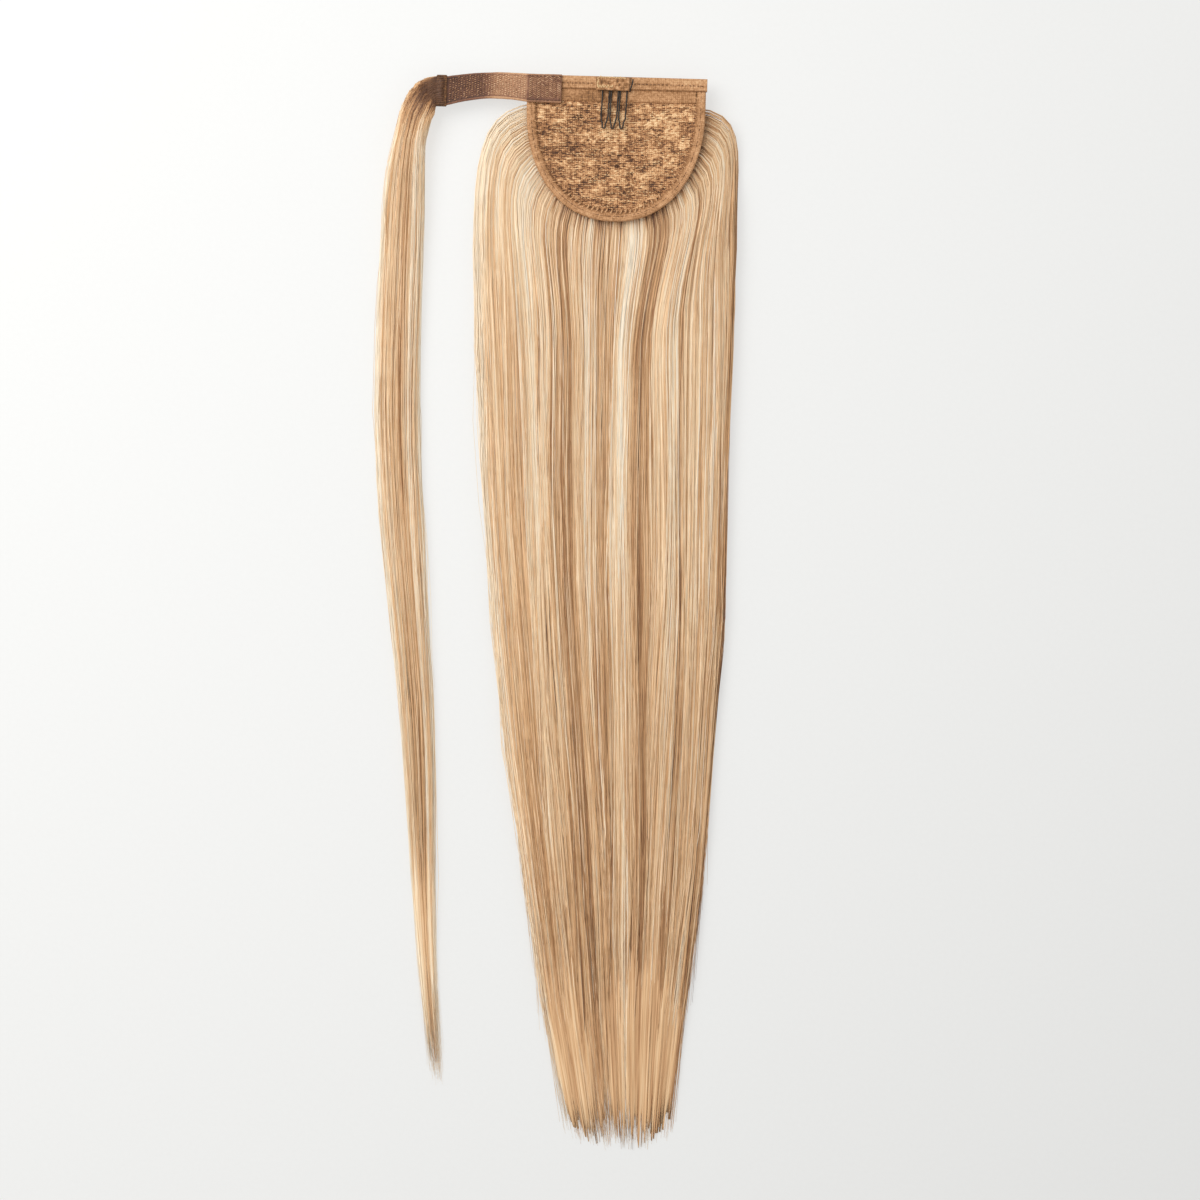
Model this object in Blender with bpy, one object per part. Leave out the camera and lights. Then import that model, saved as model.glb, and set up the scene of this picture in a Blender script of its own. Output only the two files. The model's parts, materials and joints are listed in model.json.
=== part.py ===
"""A wrap-around ponytail hairpiece, laid flat with the inside of its cap facing up.

Metres. While it is modelled, X runs across the cap, Y points to the cap's top edge and Z is up:
the middle of the top edge is at X 0 and Y 0, and the surface it lies on is Z 0. "down" is a distance
from the top edge towards the hair's tips, and "above" a height over the middle of the cap's net.
"""

import math

import bmesh
import bpy
from mathutils import Vector

# Shared fits
CLEARANCE = 0.0003  # between pieces that lie on each other

# Cap: a net cut like a letter D, its straight side at the top
CAP_WIDTH = 0.100
CAP_STRAIGHT = 0.018  # the straight stretch of its sides
CAP_ROUND = 0.064  # depth of the half ellipse below that
CAP_FULLNESS = 2.15  # power of the ellipse: 2 is a true one and more is squarer
CAP_DISH = 0.0035  # how far its middle lies below its rim
CAP_TURN = 1.6  # degrees that the cap lies turned clockwise
NET_THICKNESS = 0.0012
TAPE_WALL = 0.0010  # one layer of the woven tape that folds over the net's edges
BINDING_WIDTH = 0.0052
BAND_WIDTH = 0.0072
YOKE_DEPTH = 0.0066  # the plain strip of net that shows below the band
YOKE_THICKNESS = 0.0010

# Weft tracks: the sewn heads of the hair, across the outside of the net
TRACK_COUNT = 5
TRACK_FIELD = 0.86  # they end at this share of the cap's depth
TRACK_WIDTH = 0.003
TRACK_THICKNESS = 0.0016

# Comb and its pocket
COMB_TEETH = 3
COMB_WIRE = 0.0009
COMB_PITCH = 0.0049  # from tooth to tooth
COMB_LEG_GAP = 0.0004  # between the neighbouring legs of two teeth
COMB_TOOTH_LENGTH = 0.0212  # shown below the pocket
COMB_POINT_LENGTH = 0.0072  # the stretch where a tooth narrows to its point
COMB_POINT_WIDTH = 0.0016  # across the round end of a point
COMB_CENTRE = -0.0018  # left of the cap's middle
COMB_POINT_LIFT = 0.0008
POCKET_PLAY = 0.0016  # beside the comb, within the pocket
POCKET_DEPTH = 0.0078
POCKET_TOP = 0.0004  # down to its folded upper edge

# Hook tape that wraps round the ponytail
HOOK_TAPE_WIDTH = 0.016
HOOK_TAPE_THICKNESS = 0.0012
HOOK_TAPE_OVERLAP = 0.0192  # sewn flat on the cap
HOOK_TAPE_FREE = 0.045
HOOK_TAPE_DROOP = 0.0026  # how far its free end lies towards the hair's tips
HOOK_TAPE_SAG = 0.0030
HOOK_TAPE_BOW = 0.0020  # sideways, away from the hair
HOOK_TAPE_TWIST = 16  # degrees, at the middle of the free stretch

# Sleeve that holds the root of the wrap strand to the end of the hook tape
SLEEVE_LENGTH = 0.0056
SLEEVE_GRIP = 0.0025  # how far the tape and the strand each reach in
SLEEVE_HEIGHT = 0.0120  # its middle, over the surface

# Wrap strand
STRAND_DROP = 0.562
STRAND_SWING = 0.0226  # how far it swings out to the side
STRAND_WIDTH = 0.0246
STRAND_THICKNESS = 0.0080

# Fall of hair
HAIR_START = 0.014  # down to where it begins
HAIR_LENGTH = 0.588
HAIR_WIDTH = 0.150
HAIR_THICKNESS = 0.016
HAIR_TOP_SHARE = 0.5  # of the thickness, left under the cap's top edge

# Cross-section of hair, in shares of its half width and its thickness
EDGE_HEIGHT = 0.30  # where the side is widest
FOOT_INSET = 0.06  # how far the flat underside stops short of the side
LOCK_GROOVE = 0.16  # how deep the grooves between locks are
LOCK_STEPS = 3  # facets across one lock

# Facets
RIM_STEPS = 28
BAND_STEPS = 12
NET_RINGS = (1.0, 0.76, 0.52, 0.26)
SHEET_STEPS = 8

# Fall of hair: down, left edge, right edge and thickness, as shares of HAIR_LENGTH, HAIR_WIDTH
# (from the cap's middle line) and HAIR_THICKNESS
FALL_SECTIONS = (
    # down, left, right, thick
    (0.000, 0.300, 0.300, 0.55),
    (0.005, 0.345, 0.325, 0.58),
    (0.010, 0.395, 0.337, 0.60),
    (0.020, 0.433, 0.370, 0.64),
    (0.029, 0.463, 0.392, 0.68),
    (0.039, 0.490, 0.410, 0.74),
    (0.051, 0.511, 0.428, 0.80),
    (0.070, 0.527, 0.445, 0.88),
    (0.099, 0.535, 0.459, 0.96),
    (0.133, 0.540, 0.457, 1.00),
    (0.189, 0.535, 0.448, 0.97),
    (0.265, 0.519, 0.433, 0.90),
    (0.398, 0.497, 0.418, 0.78),
    (0.494, 0.471, 0.411, 0.70),
    (0.609, 0.425, 0.373, 0.60),
    (0.723, 0.362, 0.340, 0.50),
    (0.837, 0.303, 0.283, 0.40),
    (0.913, 0.253, 0.247, 0.30),
    (0.945, 0.225, 0.225, 0.25),
)

# Locks of the fall, left to right: width as a share of the whole, and tip as a share of the last
# stretch between the last section and HAIR_LENGTH
FALL_LOCKS = (
    # width, tip
    (0.11, 0.55),
    (0.09, 0.80),
    (0.13, 0.95),
    (0.10, 0.78),
    (0.12, 1.00),
    (0.11, 0.90),
    (0.13, 0.98),
    (0.09, 0.74),
    (0.12, 0.50),
)

# Wrap strand: down, sideways, width, thickness and lift of its underside, as shares of
# STRAND_DROP, STRAND_SWING, STRAND_WIDTH, STRAND_THICKNESS and SLEEVE_HEIGHT, and the turn of the
# section in degrees. 90 is a section whose hair runs sideways, and 0 one whose hair runs down.
STRAND_SECTIONS = (
    # down, sideways, width, thick, lift, turn
    (0.005, 0.24, 0.73, 0.45, 0.95, 62),
    (0.015, 0.41, 0.77, 0.62, 0.88, 33),
    (0.030, 0.51, 0.83, 0.78, 0.78, 15),
    (0.043, 0.60, 0.87, 0.88, 0.69, 9),
    (0.069, 0.71, 0.97, 0.96, 0.55, 6),
    (0.113, 0.83, 0.96, 1.00, 0.36, 5),
    (0.178, 0.92, 0.96, 1.00, 0.17, 3),
    (0.247, 0.98, 0.99, 1.00, 0.06, 1),
    (0.327, 1.00, 1.00, 0.98, 0.00, 0),
    (0.427, 0.89, 0.98, 0.92, 0.00, -3),
    (0.527, 0.70, 0.87, 0.84, 0.00, -4),
    (0.587, 0.57, 0.80, 0.78, 0.00, -4),
    (0.706, 0.42, 0.61, 0.66, 0.00, -3),
    (0.826, 0.27, 0.42, 0.52, 0.00, -3),
    (0.925, 0.13, 0.27, 0.36, 0.00, -5),
)
STRAND_END = -0.10  # sideways, at its tips

STRAND_LOCKS = (
    # width, tip
    (0.35, 0.70),
    (0.33, 1.00),
    (0.32, 0.80),
)

COLOURS = {
    # linear red, green, blue, then roughness and metallic
    "net": ((0.40, 0.20, 0.085), 0.85, 0.0),
    "woven_tape": ((0.36, 0.17, 0.08), 0.80, 0.0),
    "hook_tape": ((0.22, 0.10, 0.055), 0.75, 0.0),
    "comb_wire": ((0.02, 0.018, 0.016), 0.45, 0.6),
    "hair": ((0.62, 0.38, 0.18), 0.50, 0.0),
}

HALF_CAP = CAP_WIDTH / 2
CAP_DEPTH = CAP_STRAIGHT + CAP_ROUND
NET_TOP = NET_THICKNESS / 2
FOLD_GAP = NET_TOP + CLEARANCE  # from the middle of the net to a folded tape's inner face
FOLD_TOP = FOLD_GAP + TAPE_WALL  # to its outer face, where other pieces lie
TRACK_TOP = NET_TOP + CLEARANCE
TRACK_FIRST = BAND_WIDTH + YOKE_DEPTH  # down to the first track
TRACK_PITCH = (CAP_DEPTH * TRACK_FIELD - TRACK_FIRST - TRACK_WIDTH) / (TRACK_COUNT - 1)
TRACK_FOOT = TRACK_TOP + TRACK_THICKNESS
HAIR_BELOW_NET = TRACK_FOOT + CLEARANCE  # from the middle of the net down to the hair

# Cap surface


def rim_level(down):
    """Height of the middle of the net at its rim: it rests on the hair, thinner at the top edge."""
    share = min(max(down / CAP_DEPTH, 0), 1)
    hair = HAIR_THICKNESS * (HAIR_TOP_SHARE + (1 - HAIR_TOP_SHARE) * share)
    return hair + HAIR_BELOW_NET


def net_level(x, down):
    """Height of the middle of the net, dished between its rims."""
    share = min(max(down / CAP_DEPTH, 0), 1)
    across = min(abs(x) / HALF_CAP, 1)
    return rim_level(down) - CAP_DISH * (1 - across**2) * 4 * share * (1 - share)


def turned(point, degrees=CAP_TURN):
    """A point of the cap or its tape, turned clockwise with the cap."""
    angle = math.radians(degrees)
    x = point.x * math.cos(angle) + point.y * math.sin(angle)
    y = point.y * math.cos(angle) - point.x * math.sin(angle)
    return Vector((x, y, point.z))


def on_cap(x, down, above):
    return turned(Vector((x, -down, net_level(x, down) + above)))


def half_width(down, inset=0.0):
    """Half the cap's width at this distance down, taken in by inset."""
    below = max(down - CAP_STRAIGHT, 0) / (CAP_ROUND - inset)
    return (HALF_CAP - inset) * max(1 - below**CAP_FULLNESS, 0) ** (1 / CAP_FULLNESS)


def rim_path(inset, start):
    """Points (x, down) along the cap's edge, from the left side round the bottom to the right."""
    points = [(-(HALF_CAP - inset), start)]
    for step in range(RIM_STEPS + 1):
        angle = math.pi * step / RIM_STEPS
        side = -1 if step * 2 < RIM_STEPS else 1
        across = abs(math.cos(angle)) ** (2 / CAP_FULLNESS)
        below = math.sin(angle) ** (2 / CAP_FULLNESS) if 0 < step < RIM_STEPS else 0.0
        outward = Vector(
            (
                side * across ** (CAP_FULLNESS - 1) / HALF_CAP,
                below ** (CAP_FULLNESS - 1) / CAP_ROUND,
            )
        ).normalized()
        x = side * HALF_CAP * across - inset * outward.x
        points.append((x, CAP_STRAIGHT + CAP_ROUND * below - inset * outward.y))
    points.append((HALF_CAP - inset, start))
    return points


# Meshes


def new_part(name, bm, material, smooth=True):
    bmesh.ops.recalc_face_normals(bm, faces=bm.faces)
    mesh = bpy.data.meshes.new(name)
    bm.to_mesh(mesh)
    bm.free()
    part = bpy.data.objects.new(name, mesh)
    finish_part(part, material)
    if smooth:
        mesh.shade_smooth()
        mesh.set_sharp_from_angle(angle=math.radians(40))
    return part


def finish_part(part, material):
    bpy.context.scene.collection.objects.link(part)
    part.data.materials.append(bpy.data.materials[material])
    part.parent = bpy.data.objects["hairpiece"]


def loft(rings):
    """One closed body through rings of points, each ring with as many points as the first."""
    bm = bmesh.new()
    made = [[bm.verts.new(point) for point in ring] for ring in rings]
    count = len(made[0])
    for first, second in zip(made, made[1:]):
        for i in range(count):
            j = (i + 1) % count
            bm.faces.new((first[i], first[j], second[j], second[i]))
    bm.faces.new(made[0])
    bm.faces.new(reversed(made[-1]))
    return bm


def thick_sheet(name, bm, thickness, material):
    """A sheet given its thickness, half of it on each side."""
    sheet = new_part(name, bm, material)
    solidify = sheet.modifiers.new("thickness", "SOLIDIFY")
    solidify.thickness = thickness
    solidify.offset = 0
    solidify.use_even_offset = True
    return sheet


def grid_sheet(rows):
    """An open sheet through rows of points."""
    bm = bmesh.new()
    made = [[bm.verts.new(point) for point in row] for row in rows]
    for first, second in zip(made, made[1:]):
        for i in range(len(first) - 1):
            bm.faces.new((first[i], first[i + 1], second[i + 1], second[i]))
    return bm


def steps(low, high, count):
    return [low + (high - low) * i / count for i in range(count + 1)]


# Cap pieces


def folded_section(width):
    """Section (inset, above) of a tape folded over an edge of the net, open towards the inside."""
    bulge = TAPE_WALL / 2
    return (
        (bulge, FOLD_TOP),
        (0, FOLD_GAP),
        (0, -FOLD_GAP),
        (bulge, -FOLD_TOP),
        (width, -FOLD_TOP),
        (width, -FOLD_GAP),
        (TAPE_WALL, -FOLD_GAP),
        (TAPE_WALL, FOLD_GAP),
        (width, FOLD_GAP),
        (width, FOLD_TOP),
    )


def make_net():
    inset = TAPE_WALL + CLEARANCE
    edge = rim_path(inset, inset)
    edge += [(x, inset) for x in steps(edge[-1][0], edge[0][0], SHEET_STEPS)[1:-1]]
    middle = CAP_DEPTH / 2
    bm = bmesh.new()
    rings = []
    for share in NET_RINGS:
        places = [(x * share, middle + (down - middle) * share) for x, down in edge]
        rings.append([bm.verts.new(on_cap(x, down, 0)) for x, down in places])
    centre = bm.verts.new(on_cap(0, middle, 0))
    count = len(edge)
    for outer, inner in zip(rings, rings[1:]):
        for i in range(count):
            j = (i + 1) % count
            bm.faces.new((outer[i], outer[j], inner[j], inner[i]))
    for i in range(count):
        bm.faces.new((rings[-1][i], rings[-1][(i + 1) % count], centre))
    thick_sheet("net_foundation", bm, NET_THICKNESS, "net")


def make_edge_binding():
    section = folded_section(BINDING_WIDTH)
    start = BAND_WIDTH + CLEARANCE
    paths = [rim_path(inset, start) for inset, _ in section]
    rings = [
        [on_cap(*path[i], above) for path, (_, above) in zip(paths, section)]
        for i in range(len(paths[0]))
    ]
    new_part("edge_binding", loft(rings), "woven_tape")


def make_top_band():
    section = folded_section(BAND_WIDTH)
    rings = [
        [on_cap(x, down, above) for down, above in section]
        for x in steps(-HALF_CAP, HALF_CAP, BAND_STEPS)
    ]
    new_part("top_band", loft(rings), "woven_tape")


def make_yoke():
    reach = HALF_CAP - BINDING_WIDTH - CLEARANCE
    top = BAND_WIDTH + CLEARANCE
    above = NET_TOP + CLEARANCE + YOKE_THICKNESS / 2
    rows = [
        [on_cap(x, down, above) for x in steps(-reach, reach, BAND_STEPS)]
        for down in (top, top + YOKE_DEPTH)
    ]
    thick_sheet("net_yoke", grid_sheet(rows), YOKE_THICKNESS, "net")


def make_weft_tracks():
    for number in range(TRACK_COUNT):
        top = TRACK_FIRST + number * TRACK_PITCH
        foot = top + TRACK_WIDTH
        reach = half_width(foot, BINDING_WIDTH + 2 * CLEARANCE)
        section = (
            (top, -TRACK_TOP),
            (foot, -TRACK_TOP),
            (foot, -TRACK_FOOT),
            (top, -TRACK_FOOT),
        )
        rings = [
            [on_cap(x, down, above) for down, above in section]
            for x in steps(-reach, reach, SHEET_STEPS)
        ]
        new_part(f"weft_track_{number + 1}", loft(rings), "woven_tape")


# Comb

WIRE_LEVEL = FOLD_TOP + CLEARANCE + COMB_WIRE / 2  # above the net, over the folded tapes
POCKET_FOOT = POCKET_TOP + POCKET_DEPTH
LEG_PITCH = COMB_WIRE + COMB_LEG_GAP  # between the neighbouring legs of two teeth
TOOTH_HALF = (COMB_PITCH - LEG_PITCH) / 2
SPINE_DOWN = POCKET_TOP + TAPE_WALL + CLEARANCE + COMB_WIRE  # where the wire turns in the pocket


def half_turn(x, down, radius, side):
    """Points (x, down) of a half turn, from left to right: side 1 bulges down and -1 up."""
    return [
        (x - radius * math.cos(a), down + side * radius * math.sin(a))
        for a in steps(0, math.pi, 4)
    ]


def comb_route():
    """Points (x, down) of one wire that runs down and up each tooth in turn."""
    first = COMB_CENTRE - COMB_PITCH * (COMB_TEETH - 1) / 2
    foot = POCKET_FOOT + COMB_TOOTH_LENGTH
    point_start = foot - COMB_POINT_LENGTH
    point_half = COMB_POINT_WIDTH / 2
    turn = LEG_PITCH / 2
    route = []
    for number in range(COMB_TEETH):
        x = first + number * COMB_PITCH
        route += [(x - TOOTH_HALF, down) for down in steps(SPINE_DOWN + turn, point_start, 3)]
        route += half_turn(x, foot - point_half, point_half, 1)
        route += [(x + TOOTH_HALF, down) for down in steps(point_start, SPINE_DOWN + turn, 3)]
        if number < COMB_TEETH - 1:
            route += half_turn(x + COMB_PITCH / 2, SPINE_DOWN + turn, turn, -1)[1:-1]
    return route


def make_comb():
    foot = POCKET_FOOT + COMB_TOOTH_LENGTH
    curve = bpy.data.curves.new("comb", "CURVE")
    curve.dimensions = "3D"
    curve.bevel_depth = COMB_WIRE / 2
    curve.bevel_resolution = 1
    curve.use_fill_caps = True
    route = comb_route()
    spline = curve.splines.new("POLY")
    spline.points.add(len(route) - 1)
    for point, (x, down) in zip(spline.points, route):
        out = max(down - POCKET_FOOT, 0) / (foot - POCKET_FOOT)
        level = WIRE_LEVEL + COMB_POINT_LIFT * out**2
        point.co = (*on_cap(x, down, level), 1)
    finish_part(bpy.data.objects.new("comb", curve), "comb_wire")


def make_comb_pocket():
    """A shallow pocket over the comb's turns: closed at its top and sides, open at its foot."""
    roof = FOLD_TOP + COMB_WIRE + 3 * CLEARANCE
    half = (COMB_PITCH * COMB_TEETH - COMB_LEG_GAP) / 2 + POCKET_PLAY + TAPE_WALL
    left, right = COMB_CENTRE - half, COMB_CENTRE + half
    inner_left, inner_right = left + TAPE_WALL, right - TAPE_WALL
    low = FOLD_TOP + CLEARANCE
    outline = (
        (left, low),
        (left, roof + TAPE_WALL),
        (right, roof + TAPE_WALL),
        (right, low),
        (inner_right, low),
        (inner_right, roof),
        (inner_left, roof),
        (inner_left, low),
    )
    top_inner = POCKET_TOP + TAPE_WALL
    bm = bmesh.new()

    def ring(down):
        return [bm.verts.new(on_cap(x, down, above)) for x, above in outline]

    head, shoulder, foot = ring(POCKET_TOP), ring(top_inner), ring(POCKET_FOOT)
    for first, second in ((head, shoulder), (shoulder, foot)):
        for i in range(3):
            bm.faces.new((first[i], first[i + 1], second[i + 1], second[i]))
    for i in range(3, 8):
        j = (i + 1) % 8
        bm.faces.new((shoulder[i], shoulder[j], foot[j], foot[i]))
    bm.faces.new((head[3], head[4], shoulder[4], shoulder[3]))
    bm.faces.new((head[7], head[0], shoulder[0], shoulder[7]))
    bm.faces.new((head[4], head[7], shoulder[7], shoulder[4]))
    bm.faces.new((shoulder[4], shoulder[7], shoulder[6], shoulder[5]))
    bm.faces.new((head[0], head[7], head[4], head[3], head[2], head[1]))
    bm.faces.new(foot)
    bmesh.ops.delete(bm, geom=[head[5], head[6]], context="VERTS")
    new_part("comb_pocket", bm, "woven_tape", smooth=False)


# Hook tape and sleeve

TAPE_MIDDLE = HOOK_TAPE_WIDTH / 2  # its centre line, down from the cap's top edge
TAPE_ABOVE = FOLD_TOP + CLEARANCE + HOOK_TAPE_THICKNESS / 2
SLEEVE_MIDDLE = TAPE_MIDDLE + HOOK_TAPE_DROOP
SLEEVE_RIGHT = -HALF_CAP - HOOK_TAPE_FREE
SLEEVE_LEFT = SLEEVE_RIGHT - SLEEVE_LENGTH


def make_hook_tape():
    half = HOOK_TAPE_WIDTH / 2
    columns = (-half, 0.0, half)
    rows = []
    for x in steps(-HALF_CAP + HOOK_TAPE_OVERLAP, -HALF_CAP, 3):
        rows.append([on_cap(x, TAPE_MIDDLE + across, TAPE_ABOVE) for across in columns])
    start = rim_level(TAPE_MIDDLE) + TAPE_ABOVE
    slope = (rim_level(TAPE_MIDDLE + half) - rim_level(TAPE_MIDDLE - half)) / HOOK_TAPE_WIDTH
    for share in steps(0, 1, SHEET_STEPS)[1:]:
        swell = math.sin(math.pi * share)
        middle = start + (SLEEVE_HEIGHT - start) * share - HOOK_TAPE_SAG * swell
        tilt = math.atan(slope) * (1 - share) + math.radians(HOOK_TAPE_TWIST) * swell
        x = -HALF_CAP - HOOK_TAPE_FREE * share
        down = TAPE_MIDDLE + HOOK_TAPE_DROOP * share**2 - HOOK_TAPE_BOW * swell
        row = []
        for across in columns:
            y = -down - across * math.cos(tilt)
            row.append(turned(Vector((x, y, middle + across * math.sin(tilt)))))
        rows.append(row)
    last = SLEEVE_RIGHT - SLEEVE_GRIP
    rows.append([in_sleeve(last, across) for across in columns])
    thick_sheet("hook_tape", grid_sheet(rows), HOOK_TAPE_THICKNESS, "hook_tape")


def in_sleeve(x, across, up=0.0):
    return turned(Vector((x, -SLEEVE_MIDDLE - across, SLEEVE_HEIGHT + up)))


def make_sleeve():
    """A flat tube of folded tape, open at the tape's side and at the strand's side."""
    gap_half = HOOK_TAPE_WIDTH / 2 + CLEARANCE
    gap_height = HOOK_TAPE_THICKNESS / 2 + CLEARANCE
    bm = bmesh.new()
    rings = []
    for x, wall in (
        (SLEEVE_LEFT, TAPE_WALL),
        (SLEEVE_RIGHT, TAPE_WALL),
        (SLEEVE_RIGHT, 0),
        (SLEEVE_LEFT, 0),
    ):
        across, up = gap_half + wall, gap_height + wall
        corners = ((-across, -up), (across, -up), (across, up), (-across, up))
        rings.append([bm.verts.new(in_sleeve(x, a, u)) for a, u in corners])
    for first, second in zip(rings, rings[1:] + rings[:1]):
        for i in range(4):
            j = (i + 1) % 4
            bm.faces.new((first[i], first[j], second[j], second[i]))
    new_part("root_sleeve", bm, "woven_tape", smooth=False)


# Hair


def lock_places(locks):
    """Where the points across a section lie, from -1 at the left side to 1 at the right.

    It gives the grooves between the locks and, for each point of the upper side, its place and
    its height as a share of the crown's.
    """
    whole = sum(width for width, _ in locks)
    grooves = [-1.0]
    upper = []
    for width, _ in locks:
        low = grooves[-1]
        high = low + 2 * width / whole
        for step in range(LOCK_STEPS):
            across = step / LOCK_STEPS
            ridge = 1 - LOCK_GROOVE * (2 * across - 1) ** 2
            upper.append((low + (high - low) * across, ridge))
        grooves.append(high)
    grooves[-1] = 1.0
    upper.append((1.0, 1 - LOCK_GROOVE))
    return grooves, upper


def crown(place):
    """Height of a section's upper side, as a share of its thickness."""
    return EDGE_HEIGHT + (1 - EDGE_HEIGHT) * math.sqrt(max(1 - abs(place) ** 3, 0))


def hair_body(name, sections, locks, tips):
    """Locks of hair side by side, one closed body that ends in a point for each lock.

    A section is (middle, left reach, right reach, thickness, turn, ceiling): middle is a point on
    its flat underside, and ceiling(x, down) the height that its upper side may not pass.
    """
    grooves, upper = lock_places(locks)
    bm = bmesh.new()
    tops, feet = [], []
    for middle, left, right, thickness, turn, ceiling in sections:
        aim = Vector((math.cos(turn), -math.sin(turn), 0))

        def spot(place, height):
            reach = left if place < 0 else right
            point = middle + aim * (reach * place)
            height = min(height, ceiling(point.x, -point.y) - middle.z)
            return bm.verts.new(point + Vector((0, 0, height)))

        tops.append([spot(p, thickness * crown(p) * ridge) for p, ridge in upper])
        feet.append([spot(p * (1 - FOOT_INSET), 0) for p in grooves])
    for i in range(len(tops) - 1):
        top, next_top, foot, next_foot = tops[i], tops[i + 1], feet[i], feet[i + 1]
        for j in range(len(top) - 1):
            bm.faces.new((top[j], next_top[j], next_top[j + 1], top[j + 1]))
        for k in range(len(foot) - 1):
            bm.faces.new((foot[k], foot[k + 1], next_foot[k + 1], next_foot[k]))
        bm.faces.new((top[0], foot[0], next_foot[0], next_top[0]))
        bm.faces.new((top[-1], next_top[-1], next_foot[-1], foot[-1]))
    bm.faces.new(tops[0] + feet[0][::-1])
    for k, tip in enumerate(tips):
        ring = tops[-1][k * LOCK_STEPS : (k + 1) * LOCK_STEPS + 1] + [feet[-1][k + 1], feet[-1][k]]
        point = bm.verts.new(tip)
        for i in range(len(ring)):
            bm.faces.new((ring[i], ring[(i + 1) % len(ring)], point))
    new_part(name, bm, "hair")


def tip_points(section, next_middle, locks):
    """One point for each lock, past the last section towards next_middle, near the surface."""
    grooves, _ = lock_places(locks)
    middle, left, right, thickness, turn, _ = section
    aim = Vector((math.cos(turn), -math.sin(turn), 0))
    points = []
    for k, (_, length) in enumerate(locks):
        place = (grooves[k] + grooves[k + 1]) / 2
        reach = left if place < 0 else right
        start = middle + aim * (reach * place)
        gather = aim * (-reach * place * 0.25 * length)
        point = start + (next_middle - middle) * length + gather
        points.append(point + Vector((0, 0, thickness * 0.2)))
    return points


def fall_ceiling(x, down):
    place = turned(Vector((x, -down, 0)), -CAP_TURN)
    return net_level(place.x, -place.y) - HAIR_BELOW_NET


def make_hair_fall():
    sections = []
    for down, left, right, thick in FALL_SECTIONS:
        y = -(HAIR_START + HAIR_LENGTH * down)
        sections.append(
            (
                Vector((0, y, 0)),
                HAIR_WIDTH * left,
                HAIR_WIDTH * right,
                HAIR_THICKNESS * thick,
                0.0,
                fall_ceiling,
            )
        )
    end = Vector((0, -(HAIR_START + HAIR_LENGTH), 0))
    hair_body("hair_fall", sections, FALL_LOCKS, tip_points(sections[-1], end, FALL_LOCKS))


def open_above(x, down):
    return math.inf


def make_wrap_strand():
    root_half = HOOK_TAPE_WIDTH / 2
    across_sleeve = math.radians(90 + CAP_TURN)
    sections = []
    for x in (SLEEVE_LEFT + SLEEVE_GRIP, SLEEVE_LEFT - CLEARANCE):
        root = in_sleeve(x, 0, -HOOK_TAPE_THICKNESS / 2)
        root_size = (root_half, root_half, HOOK_TAPE_THICKNESS)
        sections.append((root, *root_size, across_sleeve, open_above))
    mouth = in_sleeve(SLEEVE_LEFT, 0)
    for down, sideways, width, thick, lift, turn in STRAND_SECTIONS:
        middle = Vector(
            (
                mouth.x - STRAND_SWING * sideways,
                mouth.y - STRAND_DROP * down,
                SLEEVE_HEIGHT * lift,
            )
        )
        half = STRAND_WIDTH * width / 2
        size = (half, half, STRAND_THICKNESS * thick)
        sections.append((middle, *size, math.radians(turn), open_above))
    end = Vector((mouth.x - STRAND_SWING * STRAND_END, mouth.y - STRAND_DROP, 0))
    tips = tip_points(sections[-1], end, STRAND_LOCKS)
    hair_body("wrap_strand", sections, STRAND_LOCKS, tips)


# The whole hairpiece


def make_materials():
    for name, (colour, roughness, metallic) in COLOURS.items():
        material = bpy.data.materials.new(name)
        material.use_nodes = True
        shader = material.node_tree.nodes["Principled BSDF"]
        shader.inputs["Base Color"].default_value = (*colour, 1)
        shader.inputs["Roughness"].default_value = roughness
        shader.inputs["Metallic"].default_value = metallic


def centre_on_origin(root):
    """Moves the hairpiece so that the middle of its footprint is at the origin."""
    bpy.context.view_layer.update()
    graph = bpy.context.evaluated_depsgraph_get()
    corners = []
    for part in root.children:
        evaluated = part.evaluated_get(graph)
        mesh = evaluated.to_mesh()
        corners += [evaluated.matrix_world @ vertex.co for vertex in mesh.vertices]
        evaluated.to_mesh_clear()
    for axis in (0, 1):
        low = min(corner[axis] for corner in corners)
        high = max(corner[axis] for corner in corners)
        root.location[axis] = -(low + high) / 2


def main():
    for thing in list(bpy.data.objects):
        bpy.data.objects.remove(thing)
    make_materials()
    root = bpy.data.objects.new("hairpiece", None)
    bpy.context.scene.collection.objects.link(root)
    make_net()
    make_edge_binding()
    make_top_band()
    make_yoke()
    make_weft_tracks()
    make_comb()
    make_comb_pocket()
    make_hook_tape()
    make_sleeve()
    make_wrap_strand()
    make_hair_fall()
    centre_on_origin(root)


main()
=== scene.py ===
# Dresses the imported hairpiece: hair, net cap, tapes, comb and stitching, on a pale studio floor.
import json
import math

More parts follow.
